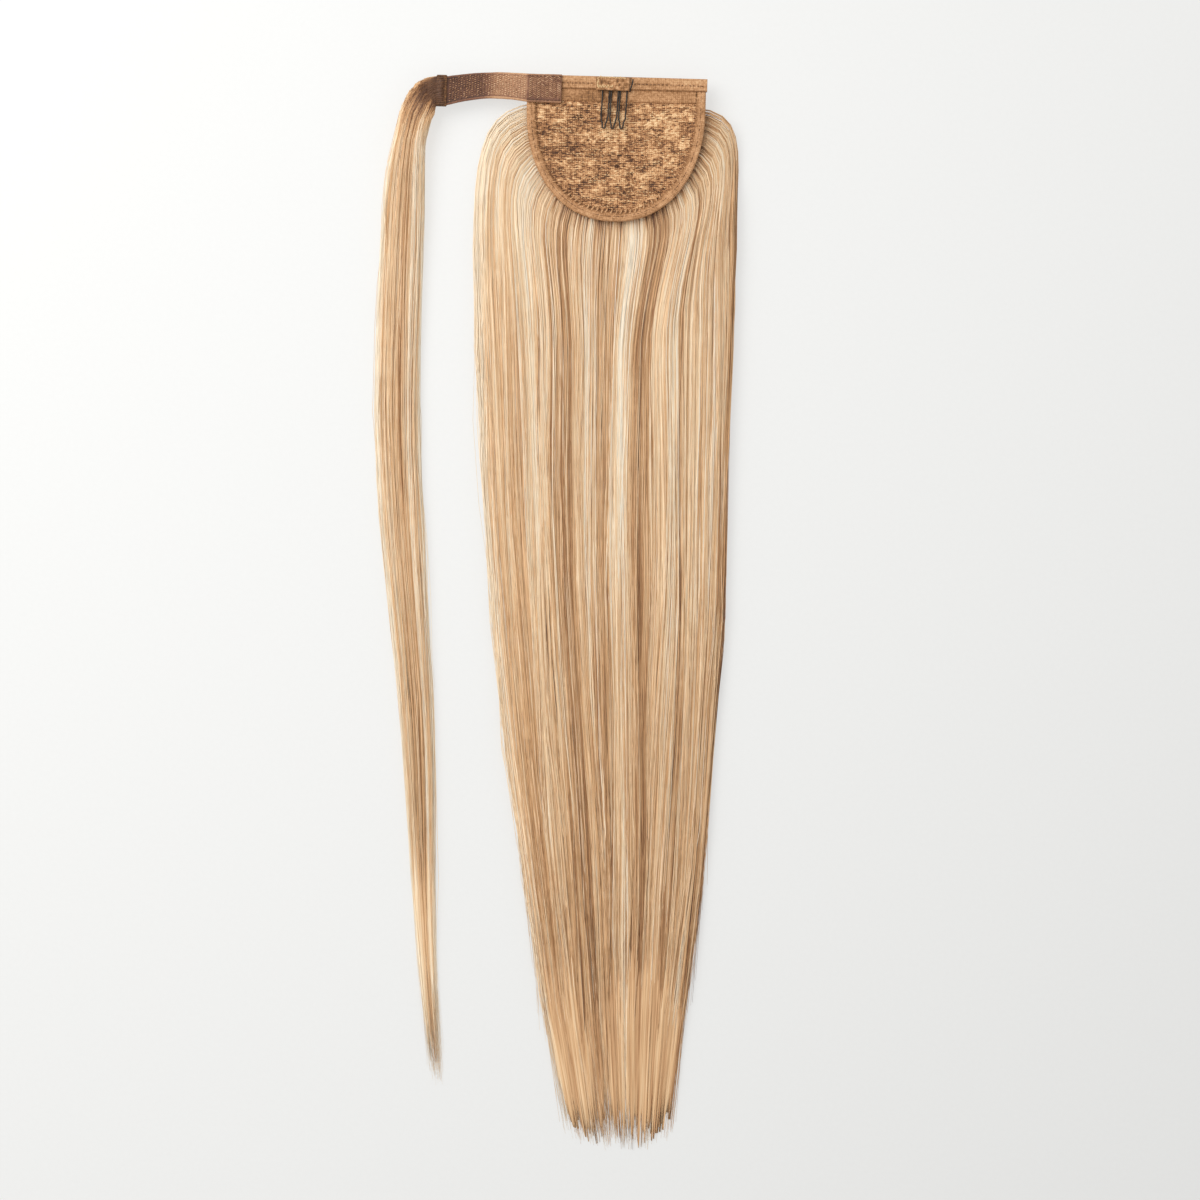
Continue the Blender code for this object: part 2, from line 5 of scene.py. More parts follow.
import bpy
import numpy as np
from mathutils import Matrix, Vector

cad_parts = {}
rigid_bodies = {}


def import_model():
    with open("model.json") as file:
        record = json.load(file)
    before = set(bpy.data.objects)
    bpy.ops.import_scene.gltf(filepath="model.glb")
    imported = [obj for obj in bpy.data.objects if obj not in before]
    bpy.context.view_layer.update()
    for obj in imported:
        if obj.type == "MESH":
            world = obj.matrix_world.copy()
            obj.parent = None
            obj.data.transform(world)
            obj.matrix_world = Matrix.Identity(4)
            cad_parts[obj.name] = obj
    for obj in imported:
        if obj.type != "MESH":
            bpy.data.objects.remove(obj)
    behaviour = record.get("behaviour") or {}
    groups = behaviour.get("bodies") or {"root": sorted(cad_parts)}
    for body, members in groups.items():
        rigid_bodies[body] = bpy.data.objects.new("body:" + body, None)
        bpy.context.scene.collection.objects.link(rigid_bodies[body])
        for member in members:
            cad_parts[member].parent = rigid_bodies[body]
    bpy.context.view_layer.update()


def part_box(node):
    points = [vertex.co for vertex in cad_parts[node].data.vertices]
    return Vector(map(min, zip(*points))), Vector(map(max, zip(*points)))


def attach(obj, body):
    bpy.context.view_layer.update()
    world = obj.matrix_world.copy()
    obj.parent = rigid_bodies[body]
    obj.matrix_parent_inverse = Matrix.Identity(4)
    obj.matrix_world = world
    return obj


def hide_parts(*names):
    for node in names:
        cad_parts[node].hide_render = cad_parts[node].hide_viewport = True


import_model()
rng = np.random.default_rng(11)

# The CAD's own sizes, in metres. "down" runs from the cap's top edge towards the tips, and
# "above" is a height over the middle of the cap's net.
cap = {
    "half": 0.050, "straight": 0.018, "round": 0.064, "fullness": 2.15, "depth": 0.082,
    "dish": 0.0035, "turn": math.radians(1.6), "net": 0.0006, "fold": 0.0019, "wall": 0.0010,
    "clear": 0.0003, "hairGap": 0.0028, "hairThick": 0.016, "bindWidth": 0.0052, "bandWidth": 0.0072,
}
fallLow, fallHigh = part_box("hair_fall")
capTop = np.array([fallLow[0] + 0.081, fallHigh[1] + 0.014, 0.0])  # middle of the cap's top edge


def toWorld(x, down, z):
    x, down, z = np.broadcast_arrays(x, down, z)
    return np.stack([x, -down, z], axis=-1) + capTop


def turned(x, down):
    c, s = math.cos(cap["turn"]), math.sin(cap["turn"])
    return x * c - down * s, down * c + x * s


def rimLevel(down):
    share = np.clip(down / cap["depth"], 0, 1)
    return cap["hairThick"] * (0.5 + 0.5 * share) + cap["hairGap"]


def netLevel(x, down):
    share = np.clip(down / cap["depth"], 0, 1)
    across = np.clip(np.abs(x) / cap["half"], 0, 1)
    return rimLevel(down) - cap["dish"] * (1 - across**2) * 4 * share * (1 - share)


def onCap(x, down, above):
    x, down, above = np.broadcast_arrays(np.asarray(x, float), np.asarray(down, float), above)
    return toWorld(*turned(x, down), netLevel(x, down) + above)


def capHalfWidth(down, inset=0.0):
    below = np.clip((down - cap["straight"]) / (cap["round"] - inset), 0, 1)
    return (cap["half"] - inset) * (1 - below ** cap["fullness"]) ** (1 / cap["fullness"])


def rimPoints(start, count=400):
    # the cap's edge from its left side round to its right: x, down, outward direction and run
    power = cap["fullness"]
    angle = np.linspace(0, math.pi, 1201)
    across = np.sign(-np.cos(angle)) * np.abs(np.cos(angle)) ** (2 / power)
    below = np.clip(np.sin(angle), 0, 1) ** (2 / power)
    x = np.concatenate([[-1], across, [1]]) * cap["half"]
    down = np.concatenate([[start], cap["straight"] + cap["round"] * below, [start]])
    length = np.concatenate([[0], np.cumsum(np.hypot(np.diff(x), np.diff(down)))])
    run = np.linspace(0, length[-1], count)
    x, down = np.interp(run, length, x), np.interp(run, length, down)
    along = np.stack([np.gradient(x), np.gradient(down)], axis=1)
    along /= np.linalg.norm(along, axis=1, keepdims=True)
    return x, down, np.stack([-along[:, 1], along[:, 0]], axis=1), run


def smoothStep(value):
    value = np.clip(value, 0, 1)
    return value * value * (3 - 2 * value)


def softNoise(a, b, seed, octaves=2):
    # soft noise from about -1 to 1, its lumps one unit across; whole numbers of b have nothing in common
    table = np.random.default_rng(seed).uniform(-1, 1, (256, 256))
    a, b = np.broadcast_arrays(np.asarray(a, float), np.asarray(b, float))
    total = np.zeros(a.shape)
    for octave in range(octaves):
        u, v = a * 2**octave, b * 2**octave + octave * 31
        i, j = np.floor(u).astype(int), np.floor(v).astype(int)
        p, q = smoothStep(u - i), smoothStep(v - j)
        near = table[i % 256, j % 256] * (1 - p) + table[(i + 1) % 256, j % 256] * p
        far = table[i % 256, (j + 1) % 256] * (1 - p) + table[(i + 1) % 256, (j + 1) % 256] * p
        total += (near * (1 - q) + far * q) / 2**octave
    return total * 1.5 / (2 - 0.5 ** (octaves - 1))


# Meshes


def addPiece(name, points, faces, material, replaces=(), values=None, flow=None):
    sizes = np.concatenate([np.full(len(part), part.shape[1]) for part in faces])
    corners = np.concatenate([part.ravel() for part in faces]).astype(np.int32)
    starts = np.concatenate([[0], np.cumsum(sizes)[:-1]]).astype(np.int32)
    mesh = bpy.data.meshes.new(name)
    mesh.vertices.add(len(points))
    mesh.vertices.foreach_set("co", np.asarray(points, np.float32).ravel())
    mesh.loops.add(len(corners))
    mesh.loops.foreach_set("vertex_index", corners)
    mesh.polygons.add(len(sizes))
    mesh.polygons.foreach_set("loop_start", starts)
    mesh.polygons.foreach_set("use_smooth", np.ones(len(sizes), bool))
    mesh.update(calc_edges=True)
    for label, value in (values or {}).items():
        layer = mesh.attributes.new(label, "FLOAT", "POINT")
        layer.data.foreach_set("value", np.asarray(value, np.float32).ravel())
    if flow is not None:
        layer = mesh.uv_layers.new(name="flow")
        layer.data.foreach_set("uv", np.asarray(flow, np.float32)[corners].ravel())
    mesh.materials.append(material)
    piece = bpy.data.objects.new(name, mesh)
    bpy.context.scene.collection.objects.link(piece)
    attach(piece, "root")
    if replaces:
        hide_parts(*replaces)
    print(f"{name}: {int(np.sum(sizes - 2))} triangles")
    return piece


def tubes(paths, radii, sides=3, spin=None):
    # closed tubes along paths (count, steps, 3), each with its own radii (count, steps)
    count, steps, _ = paths.shape
    along = np.gradient(paths, axis=1)
    along /= np.linalg.norm(along, axis=2, keepdims=True) + 1e-12
    side = np.cross(along, (0.0, 0.0, 1.0))
    side /= np.linalg.norm(side, axis=2, keepdims=True) + 1e-12
    top = np.cross(side, along)
    spin = np.zeros(count) if spin is None else spin
    turn = spin[:, None] + np.arange(sides) * 2 * math.pi / sides
    ring = (
        np.cos(turn)[:, None, :, None] * side[:, :, None]
        + np.sin(turn)[:, None, :, None] * top[:, :, None]
    )
    points = paths[:, :, None] + radii[:, :, None, None] * ring
    index = np.arange(count * steps * sides).reshape(count, steps, sides)
    beside = np.roll(index, -1, axis=2)
    walls = np.stack([index[:, :-1], beside[:, :-1], beside[:, 1:], index[:, 1:]], axis=-1)
    return points.reshape(-1, 3), [walls.reshape(-1, 4), index[:, 0, ::-1], index[:, -1]]


def closedGrid(top, bottom):
    # a closed body between two grids of points of the same shape (rows, columns, 3)
    rows, columns, _ = top.shape
    low = rows * columns
    index = np.arange(low).reshape(rows, columns)
    cells = np.stack([index[:-1, :-1], index[:-1, 1:], index[1:, 1:], index[1:, :-1]], -1).reshape(-1, 4)
    rim = np.concatenate([index[0, :-1], index[:-1, -1], index[-1, :0:-1], index[:0:-1, 0]])
    after = np.roll(rim, -1)
    walls = np.stack([rim, after, after + low, rim + low], axis=-1)
    points = np.concatenate([top.reshape(-1, 3), bottom.reshape(-1, 3)])
    return points, [cells[:, ::-1], cells + low, walls]


def closedSweep(rings, loop=False):
    # a closed body through rings of points (rings, points, 3), its ends capped or joined in a loop
    count, size, _ = rings.shape
    index = np.arange(count * size).reshape(count, size)
    after = np.roll(index, -1, axis=0) if loop else index[1:]
    index = index if loop else index[:-1]
    walls = np.stack([index, np.roll(index, -1, 1), np.roll(after, -1, 1), after], axis=-1).reshape(-1, 4)
    ends = [] if loop else [index[:1, ::-1], after[-1:]]
    return rings.reshape(-1, 3), [walls] + ends


def addGrid(name, top, bottom, material, replaces, tone, flow=None):
    # a closed body between two grids, with one tone and one flow for both sides
    points, faces = closedGrid(top, bottom)
    if flow is not None:
        flow = np.tile(np.stack(np.broadcast_arrays(*flow), axis=-1).reshape(-1, 2), (2, 1))
    values = {"tone": np.tile(tone.ravel(), 2)}
    return addPiece(name, points, faces, material, replaces, values, flow)


def addRound(name, paths, radius, material, sides=4, replaces=()):
    # stitches or wires, all of one thickness
    paths = np.array(paths)
    points, faces = tubes(paths, np.full(paths.shape[:2], radius), sides=sides)
    addPiece(name, points, faces, material, replaces)


def addHair(name, paths, radii, tone, warm=None):
    points, faces = tubes(paths, radii, spin=rng.uniform(0, 6, len(paths)))
    values = {"tone": tone} if warm is None else {"tone": tone, "warm": warm}
    values = {label: np.repeat(value.ravel(), 3) for label, value in values.items()}
    addPiece(name, points, faces, dyedHair, values=values)


def arch(low, high):
    # heights along a stitch that comes up and dives again
    return np.array([low, high, high, low])


# Materials


def linear(code):
    # an sRGB hex value as linear red, green, blue and alpha
    parts = [int(code[i : i + 2], 16) / 255 for i in (1, 3, 5)]
    return [v / 12.92 if v <= 0.04045 else ((v + 0.055) / 1.055) ** 2.4 for v in parts] + [1.0]


def addNode(tree, kind, settings=None, links=None):
    # text keys that the node itself has are its properties, and all others are its sockets
    node = tree.nodes.new(kind)
    for key, value in (settings or {}).items():
        if isinstance(key, str) and hasattr(node, key):
            setattr(node, key, value)
        else:
            node.inputs[key].default_value = value
    for key, socket in (links or {}).items():
        tree.links.new(socket, node.inputs[key])
    return node


def startMaterial(name, roughness, ior=1.5, metallic=0.0):
    material = bpy.data.materials.new(name)
    material.use_nodes = True
    tree = material.node_tree
    shader = tree.nodes["Principled BSDF"]
    for label, value in (("Roughness", roughness), ("Metallic", metallic), ("IOR", ior)):
        shader.inputs[label].default_value = value
    return material, tree, shader


def colourStops(tree, stops, value):
    ramp = addNode(tree, "ShaderNodeValToRGB", links={"Fac": value})
    ends = ramp.color_ramp.elements
    while len(ends) < len(stops):
        ends.new(0.5)
    for end, (place, code) in zip(ends, stops):
        end.position = place
        end.color = linear(code)
    return ramp.outputs["Color"]


def toneWith(tree, noise, amount):
    # the piece's own "tone" values, made uneven by a noise whose middle is 0.5
    tone = addNode(tree, "ShaderNodeAttribute", {"attribute_name": "tone"}).outputs["Fac"]
    return calculate(tree, "ADD", tone, calculate(tree, "MULTIPLY_ADD", noise, amount, -amount / 2))


hairTones = [(0.0, "#5a3822"), (0.25, "#b28154"), (0.5, "#e3b989"), (0.75, "#fae1bc"), (1.0, "#fff6e4")]
netTones = [(0.0, "#452a18"), (0.3, "#8f5f38"), (0.6, "#cf9a69"), (1.0, "#f6d3a2")]
tapeTones = [(0.0, "#4a2f1a"), (0.35, "#93653a"), (0.65, "#c29064"), (1.0, "#e2b98a")]
hookTones = [(0.0, "#2c180f"), (0.35, "#784d37"), (0.65, "#b98a64"), (1.0, "#f3cba2")]


def noise(tree, vector, settings):
    return addNode(tree, "ShaderNodeTexNoise", settings, {"Vector": vector}).outputs["Fac"]


def stretched(tree, vector, scale):
    return addNode(tree, "ShaderNodeMapping", {"Scale": scale}, {"Vector": vector}).outputs[0]


def speckle(tree, scale, detail):
    # noise fixed to the piece, its lumps 1 / scale metres across
    where = addNode(tree, "ShaderNodeTexCoord").outputs["Object"]
    return noise(tree, where, {"Scale": scale, "Detail": detail})


def calculate(tree, operation, first, second, third=None):
    # the sockets or plain numbers put through one sum
    parts = dict(enumerate(part for part in (first, second, third) if part is not None))
    links = {key: part for key, part in parts.items() if isinstance(part, bpy.types.NodeSocket)}
    fixed = {key: part for key, part in parts.items() if key not in links}
    return addNode(tree, "ShaderNodeMath", {"operation": operation} | fixed, links).outputs[0]


def waves(tree, vector, settings):
    # two sets of waves that cross, multiplied
    kind, links = "ShaderNodeTexWave", {"Vector": vector}
    crossed = [addNode(tree, kind, {"bands_direction": axis} | settings, links) for axis in ("X", "Y")]
    return calculate(tree, "MULTIPLY", *(node.outputs["Fac"] for node in crossed))


def paint(tree, shader, stops, value):
    tree.links.new(colourStops(tree, stops, value), shader.inputs["Base Color"])


def emboss(tree, shader, height, strength, distance):
    bump = addNode(tree, "ShaderNodeBump", {"Strength": strength, "Distance": distance}, {"Height": height})
    tree.links.new(bump.outputs[0], shader.inputs["Normal"])


# Human hair, dyed in mixed blonds: keratin with a cuticle, so a soft gloss runs along each hair
def makeDyedHair():
    material, tree, shader = startMaterial("dyedHumanHair", 0.46, 1.55)
    cloud = speckle(tree, 160.0, 2.0)  # pigment clouds about 6 mm long
    # painted light: the outer hairs, the tips and the hairs lying under others are tinted warmer, as light
    # passes through them
    warm = addNode(tree, "ShaderNodeAttribute", {"attribute_name": "warm"})
    tone = colourStops(tree, hairTones, toneWith(tree, cloud, 0.12))
    tint = addNode(
        tree, "ShaderNodeMixRGB", {"blend_type": "MULTIPLY", "Color2": linear("#ffefdb")},
        {"Fac": warm.outputs["Fac"], "Color1": tone},
    )
    tree.links.new(tint.outputs[0], shader.inputs["Base Color"])
    gloss = addNode(tree, "ShaderNodeMapRange", {"To Min": 0.38, "To Max": 0.55}, {"Value": cloud})
    tree.links.new(gloss.outputs[0], shader.inputs["Roughness"])
    return material


# The same hair where it lies deep and close: fine streaks run along its flow
def makePackedHair():
    material, tree, shader = startMaterial("packedHumanHair", 0.55, 1.55)
    flow = addNode(tree, "ShaderNodeUVMap", {"uv_map": "flow"}).outputs["UV"]
    # streaks 1.3 mm wide and finer, as single hairs are too thin to show, and 70 mm long
    grain = {"Scale": 1.0, "Detail": 3.0, "Roughness": 0.7}
    streak = noise(tree, stretched(tree, flow, (760.0, 14.0, 1.0)), grain)
    paint(tree, shader, hairTones, toneWith(tree, streak, 1.1))
    emboss(tree, shader, streak, 0.6, 0.0004)
    return material


# Nylon yarn, knitted into a net and stitched over: matte, with dark pits between lit yarns
def makeKnittedNet():
    material, tree, shader = startMaterial("knittedNylonNet", 0.82, 1.53)
    where = addNode(tree, "ShaderNodeTexCoord").outputs["Object"]
    # yarns 0.55 mm thick and 1.7 mm long, which lie across the cap
    yarn = noise(tree, stretched(tree, where, (580.0, 1800.0, 700.0)), {"Scale": 1.0, "Detail": 2.0})
    # meshes 1.2 mm wide and high, coarser than the real ones so that they show
    mesh = waves(tree, where, {"Scale": 262.0, "Distortion": 4.0, "Detail": 1.0, "Detail Scale": 1.2})
    paint(tree, shader, netTones, toneWith(tree, calculate(tree, "MULTIPLY_ADD", mesh, 0.22, yarn), 1.5))
    emboss(tree, shader, yarn, 0.9, 0.0004)
    return material


# Polyester tape, plain woven and folded: matte, its warp and weft just visible close by
def makeWovenTape():
    material, tree, shader = startMaterial("wovenPolyesterTape", 0.78, 1.52)
    flow = addNode(tree, "ShaderNodeUVMap", {"uv_map": "flow"}).outputs["UV"]
    # threads every 1.1 mm, about four times as coarse as real ones, so that they show
    weave = waves(tree, flow, {"Scale": 285.0, "Distortion": 1.2, "Detail": 1.0, "Detail Scale": 1.5})
    cloud = noise(tree, flow, {"Scale": 800.0, "Detail": 3.0})
    paint(tree, shader, tapeTones, toneWith(tree, calculate(tree, "MULTIPLY_ADD", weave, 0.22, cloud), 1.0))
    emboss(tree, shader, weave, 0.6, 0.0002)
    return material


# Hook and loop tape: nylon, woven with a raised pile, duller where the hooks stand
def makeHookPile():
    material, tree, shader = startMaterial("nylonHookTape", 0.7, 1.53)
    tuft = speckle(tree, 1250.0, 1.0)  # tufts 0.8 mm across
    paint(tree, shader, hookTones, toneWith(tree, tuft, 0.35))
    emboss(tree, shader, tuft, 0.7, 0.0003)
    return material


# Spun polyester sewing thread: slightly shiny, with a twist along it
def makeSewingThread(name, dark, light):
    material, tree, shader = startMaterial(name, 0.6, 1.52)
    paint(tree, shader, [(0.3, dark), (0.7, light)], speckle(tree, 1400.0, 1.0))  # twists 0.7 mm long
    return material


# Spring steel wire, drawn and black lacquered: a thin bright line runs along its round top
def makeLacqueredWire():
    material, tree, shader = startMaterial("blackLacqueredWire", 0.5, 1.45, 0.1)
    rubbed = speckle(tree, 480.0, 2.0)  # spots 2 mm across
    paint(tree, shader, [(0.35, "#1c1611"), (0.75, "#40352a")], rubbed)
    return material


dyedHair, packedHair = makeDyedHair(), makePackedHair()
knittedNet, wovenTape, hookPile = makeKnittedNet(), makeWovenTape(), makeHookPile()
tanThread = makeSewingThread("tanSewingThread", "#a5754c", "#d9aa7a")
paleThread = makeSewingThread("paleSewingThread", "#cda06a", "#f0d2a0")
brownThread = makeSewingThread("brownSewingThread", "#4a2f1f", "#7d5436")
lacqueredWire = makeLacqueredWire()
print("materials done")


# Net of the cap

net = {
    "inset": 0.0013,  # inside the folded tapes
    "grid": (140, 116),
    "fieldTop": 0.0143,  # down to where the plain yoke ends
    "rowPitch": 0.0013,  # of the machine's stitch rows
    "rowHeight": 0.00010, "knobHeight": 0.00038, "lumpHeight": 0.00030,
    "yarnRows": 46, "yarnsPerRow": 32, "knots": 420, "yarnRadius": 0.00025,
    "stitchLines": 34, "stitchPitch": 0.0017,
    # loose pale yarns: middle across, down, width and number of rows
    "paleYarns": [(-0.004, 0.0316, 0.011, 3), (-0.0095, 0.0590, 0.010, 2), (0.022, 0.047, 0.007, 2)],
}


def fieldShare(x, down):
    # 1 in the open net, 0 under the binding and the yoke
    side = capHalfWidth(down, cap["bindWidth"] + 0.0004) - np.abs(x)
    return smoothStep(side / 0.0012) * smoothStep((down - net["fieldTop"]) / 0.0008)


def netRelief(x, down):
    ridge = np.sin(2 * math.pi * (down / net["rowPitch"] + 0.5 * softNoise(x / 0.012, down / 0.02, 31)))
    knob = softNoise(x / 0.0019, down / 0.0010, 32)
    lump = softNoise(x / 0.007, down / 0.004, 33)
    # some rectangles of stitching stand proud of the rest
    patch = smoothStep(softNoise(np.round(x / 0.0042) * 0.55, np.round(down / 0.0026) * 0.7, 34, 1) * 3.2)
    height = net["rowHeight"] * ridge + net["knobHeight"] * knob + net["lumpHeight"] * (lump + patch)
    return height, ridge, knob, lump, patch


def makeNet():
    columns, rows = net["grid"]
    down = np.linspace(net["inset"], cap["depth"] - net["inset"], rows)[:, None]
    half = np.maximum(capHalfWidth(down, net["inset"]), 0.004)
    x = half * np.linspace(-1, 1, columns)
    down = np.broadcast_to(down, x.shape)
    relief, ridge, knob, lump, patch = netRelief(x, down)
    field = fieldShare(x, down)
    top = onCap(x, down, cap["net"] + field * np.clip(relief, -0.0007, 0.0011))
    bottom = onCap(x, down, -cap["net"])
    cloud = softNoise(x / 0.016, down / 0.011, 35)
    # painted light on the raised rows, knobs, lumps and patches, and painted shade where they sink
    tone = 0.28 + field * (0.13 * ridge + 0.24 * knob + 0.06 * lump + 0.28 * patch + 0.05 * cloud)
    # painted shade in pits where the net is pulled open
    tone = tone - 0.34 * field * smoothStep((softNoise(x / 0.0022, down / 0.0014, 36) - 0.62) / 0.22)
    # the left half is a little darker
    tone = tone - 0.10 * smoothStep((-x - 0.002) / 0.02) * smoothStep((down - 0.020) / 0.02)
    piece = addGrid("cap_net", top, bottom, knittedNet, ["net_foundation"], tone)


def makeYarns():
    # stitches of the machine that closes the net: short yarns that rise and dive in rows
    count = net["yarnRows"] * net["yarnsPerRow"]
    row = np.repeat(np.arange(net["yarnRows"]), net["yarnsPerRow"])
    pitch = (cap["depth"] - cap["bindWidth"] - net["fieldTop"]) / net["yarnRows"]
    down = net["fieldTop"] + (row + 0.5) * pitch + rng.normal(0, 0.00016, count)
    x = rng.uniform(-0.0455, 0.0455, count)
    length = rng.uniform(0.0010, 0.0034, count)
    tilt = rng.normal(0, 0.10, count)
    knots = net["knots"]
    x = np.concatenate([x, rng.uniform(-0.045, 0.045, knots)])
    down = np.concatenate([down, rng.uniform(net["fieldTop"] + 0.001, cap["depth"] - 0.006, knots)])
    length = np.concatenate([length, rng.uniform(0.0007, 0.0017, knots)])
    tilt = np.concatenate([tilt, rng.uniform(0.5, 2.6, knots)])
    tone = rng.normal(0.46, 0.17, len(x))
    # runs of even stitches, light on top and dark between
    for _ in range(net["stitchLines"]):
        number = rng.integers(5, 16)
        x = np.append(x, rng.uniform(-0.040, 0.030) + np.arange(number) * net["stitchPitch"])
        down = np.append(down, rng.uniform(0.017, 0.074) + rng.normal(0, 0.00008, number))
        length = np.append(length, np.full(number, 0.72 * net["stitchPitch"]))
        tilt, tone = np.append(tilt, np.full(number, 0.05)), np.append(tone, np.full(number, 0.80))
    for middle, level, width, lines in net["paleYarns"]:
        for line in range(lines):
            for piece in range(4):
                x = np.append(x, middle - width / 2 + (piece + 0.5) * width / 4)
                down = np.append(down, level + line * 0.0011)
                length, tilt = np.append(length, width / 4.4), np.append(tilt, 0.02)
                tone = np.append(tone, 0.95)
    inside = np.abs(x) + length * np.abs(np.cos(tilt)) / 2 < capHalfWidth(down, cap["bindWidth"] + 0.0006)
    x, down, length, tilt, tone = (v[inside] for v in (x, down, length, tilt, tone))
    t = np.linspace(-0.5, 0.5, 4)
    runX = x[:, None] + np.outer(length * np.cos(tilt), t)
    runDown = down[:, None] + np.outer(length * np.sin(tilt), t)
    relief = netRelief(runX, runDown)[0]
    rise = arch(-0.00015, 0.00022) + rng.normal(0, 0.00008, (len(x), 1))
    paths = onCap(runX, runDown, cap["net"] + np.clip(relief, -0.0006, 0.0009) * 0.7 + rise)
    radii = net["yarnRadius"] * rng.uniform(0.8, 1.25, (len(x), 1)) * arch(0.7, 1.0)
    points, faces = tubes(paths, radii, spin=rng.uniform(0, 6, len(x)))
    tones = np.repeat(np.clip(tone, 0.1, 1), 4 * 3)
    addPiece("net_stitching", points, faces, knittedNet, values={"tone": tones})


makeNet()
makeYarns()
print("net done")


# Folded tapes round the cap

binding = {
    "points": 300, "pucker": 0.00022, "tone": 0.51,
    "stitchPitch": 0.0030, "overlockRadius": 0.00050, "slack": 0.70,
    "seamPitch": 0.0024, "seamInset": 0.0027, "seamRadius": 0.00013,
}
band = {
    "points": 240, "overhang": 0.0006, "puckerPitch": 0.0019, "pucker": 0.00026, "tone": 0.55,
    "stitchDown": 0.0042, "stitchPitch": 0.0022, "stitchRadius": 0.00015,
}


def foldedTape(width):
    # section (inset, above) of a tape folded over an edge, from its upper inner edge round to its lower
    fold, wall = cap["fold"], cap["wall"]
    gap = fold - wall
    return np.array([
        (width, gap + 0.0001), (width + 0.00005, gap + 0.0005), (width - 0.00015, fold - 0.0001),
        (width * 0.86, fold + 0.00004), (width * 0.72, fold + 0.00006), (width * 0.58, fold + 0.00005),
        (width * 0.44, fold + 0.00006), (width * 0.30, fold + 0.00003), (width * 0.18, fold - 0.00004),
        (0.0004, fold - 0.0003), (0.00008, gap + 0.0002), (0.0, 0.0), (0.00008, -gap - 0.0002),
        (0.0004, -fold + 0.0003), (width * 0.2, -fold), (width * 0.6, -fold),
        (width - 0.00015, -fold + 0.0001), (width, -gap - 0.0001),
        (width * 0.6, -gap), (wall, -gap), (wall, gap), (width * 0.6, gap),
    ])


def tapeBody(x, down, out, run, width, relief, name, replaces, tone):
    section = foldedTape(width)
    inset, above = section.T
    lifted = relief(run[:, None], inset[None, :]) * (above > 0.0012)
    places = (x[:, None] - out[:, :1] * inset, down[:, None] - out[:, 1:] * inset)
    points, faces = closedSweep(onCap(*places, above + lifted))
    girth = np.concatenate([[0], np.cumsum(np.hypot(*np.diff(section, axis=0).T))])
    flow = np.stack(np.broadcast_arrays(run[:, None], girth[None, :]), axis=-1).reshape(-1, 2)
    # painted light where the tape is lifted, and painted shade where it is pulled down
    shade = tone(run[:, None], inset[None, :]) + lifted * 350
    piece = addPiece(
        name, points, faces, wovenTape, replaces,
        {"tone": np.broadcast_to(shade, (len(run), len(inset))).ravel()}, flow,
    )


def makeBinding():
    x, down, out, run = rimPoints(cap["bandWidth"] + cap["clear"], binding["points"])
    pitch = binding["stitchPitch"]

    def relief(r, inset):
        pull = np.exp(-(((inset - 0.0046) / 0.0007) ** 2)) * (0.5 + 0.5 * np.cos(2 * math.pi * r / pitch))
        wave = softNoise(r / 0.0032, inset / 0.003, 41)
        return binding["pucker"] * wave - 0.00030 * pull

    def tone(r, inset):
        worn = 0.06 * softNoise(r / 0.011, inset / 0.003, 42)
        worn = worn + 0.09 * softNoise(r / 0.0018, inset / 0.0012, 44)
        # painted shade along the inner edge, under the overlock stitches
        return binding["tone"] + worn - 0.16 * smoothStep((inset - 0.0038) / 0.0012)

    tapeBody(x, down, out, run, cap["bindWidth"], relief, "edge_tape", ["edge_binding"], tone)

    # overlock stitches that hold the tape's inner edge, a few of them slack
    at = np.arange(pitch / 2, run[-1], pitch)
    at = at + rng.normal(0, 0.00012, len(at))
    inset = np.array([0.0040, 0.0046, 0.0054, 0.0064, 0.0071])
    above = np.array([0.0017, 0.0023, 0.0024, 0.0017, 0.0005])
    inset = inset * rng.uniform(0.85, 1.15, (len(at), 1))
    slant = at[:, None] + np.linspace(-0.0007, 0.0007, 5) * rng.uniform(0.6, 1.4, (len(at), 1))
    runX = np.interp(slant, run, x) - np.interp(slant, run, out[:, 0]) * inset
    runDown = np.interp(slant, run, down) - np.interp(slant, run, out[:, 1]) * inset
    paths = onCap(runX, runDown, above + rng.normal(0, 0.00010, (len(at), 1)))
    low = smoothStep((runDown[:, 2] - 0.045) / 0.030)
    kept = rng.random(len(at)) < 1 - binding["slack"] * (1 - low)
    radii = np.full(paths.shape[:2], binding["overlockRadius"]) * np.array([0.7, 1, 1, 1, 0.6])
    radii = radii * (0.62 + 0.38 * low)[:, None] * rng.uniform(0.8, 1.15, (len(at), 1))
    points, faces = tubes(paths[kept], radii[kept], sides=5)
    addPiece("overlock_stitches", points, faces, tanThread)

    # a straight seam near the outer edge
    at = np.arange(binding["seamPitch"] / 2, run[-1], binding["seamPitch"])
    steps = at[:, None] + np.linspace(-0.00085, 0.00085, 4)
    inset = binding["seamInset"] + 0.0001 * softNoise(steps / 0.02, 0, 43)
    places = [
        np.interp(steps, run, line) - np.interp(steps, run, out[:, axis]) * inset
        for axis, line in enumerate((x, down))
    ]
    paths = onCap(*places, cap["fold"] + arch(-0.00012, 0.00010))
    addRound("binding_seam", paths, binding["seamRadius"], brownThread)


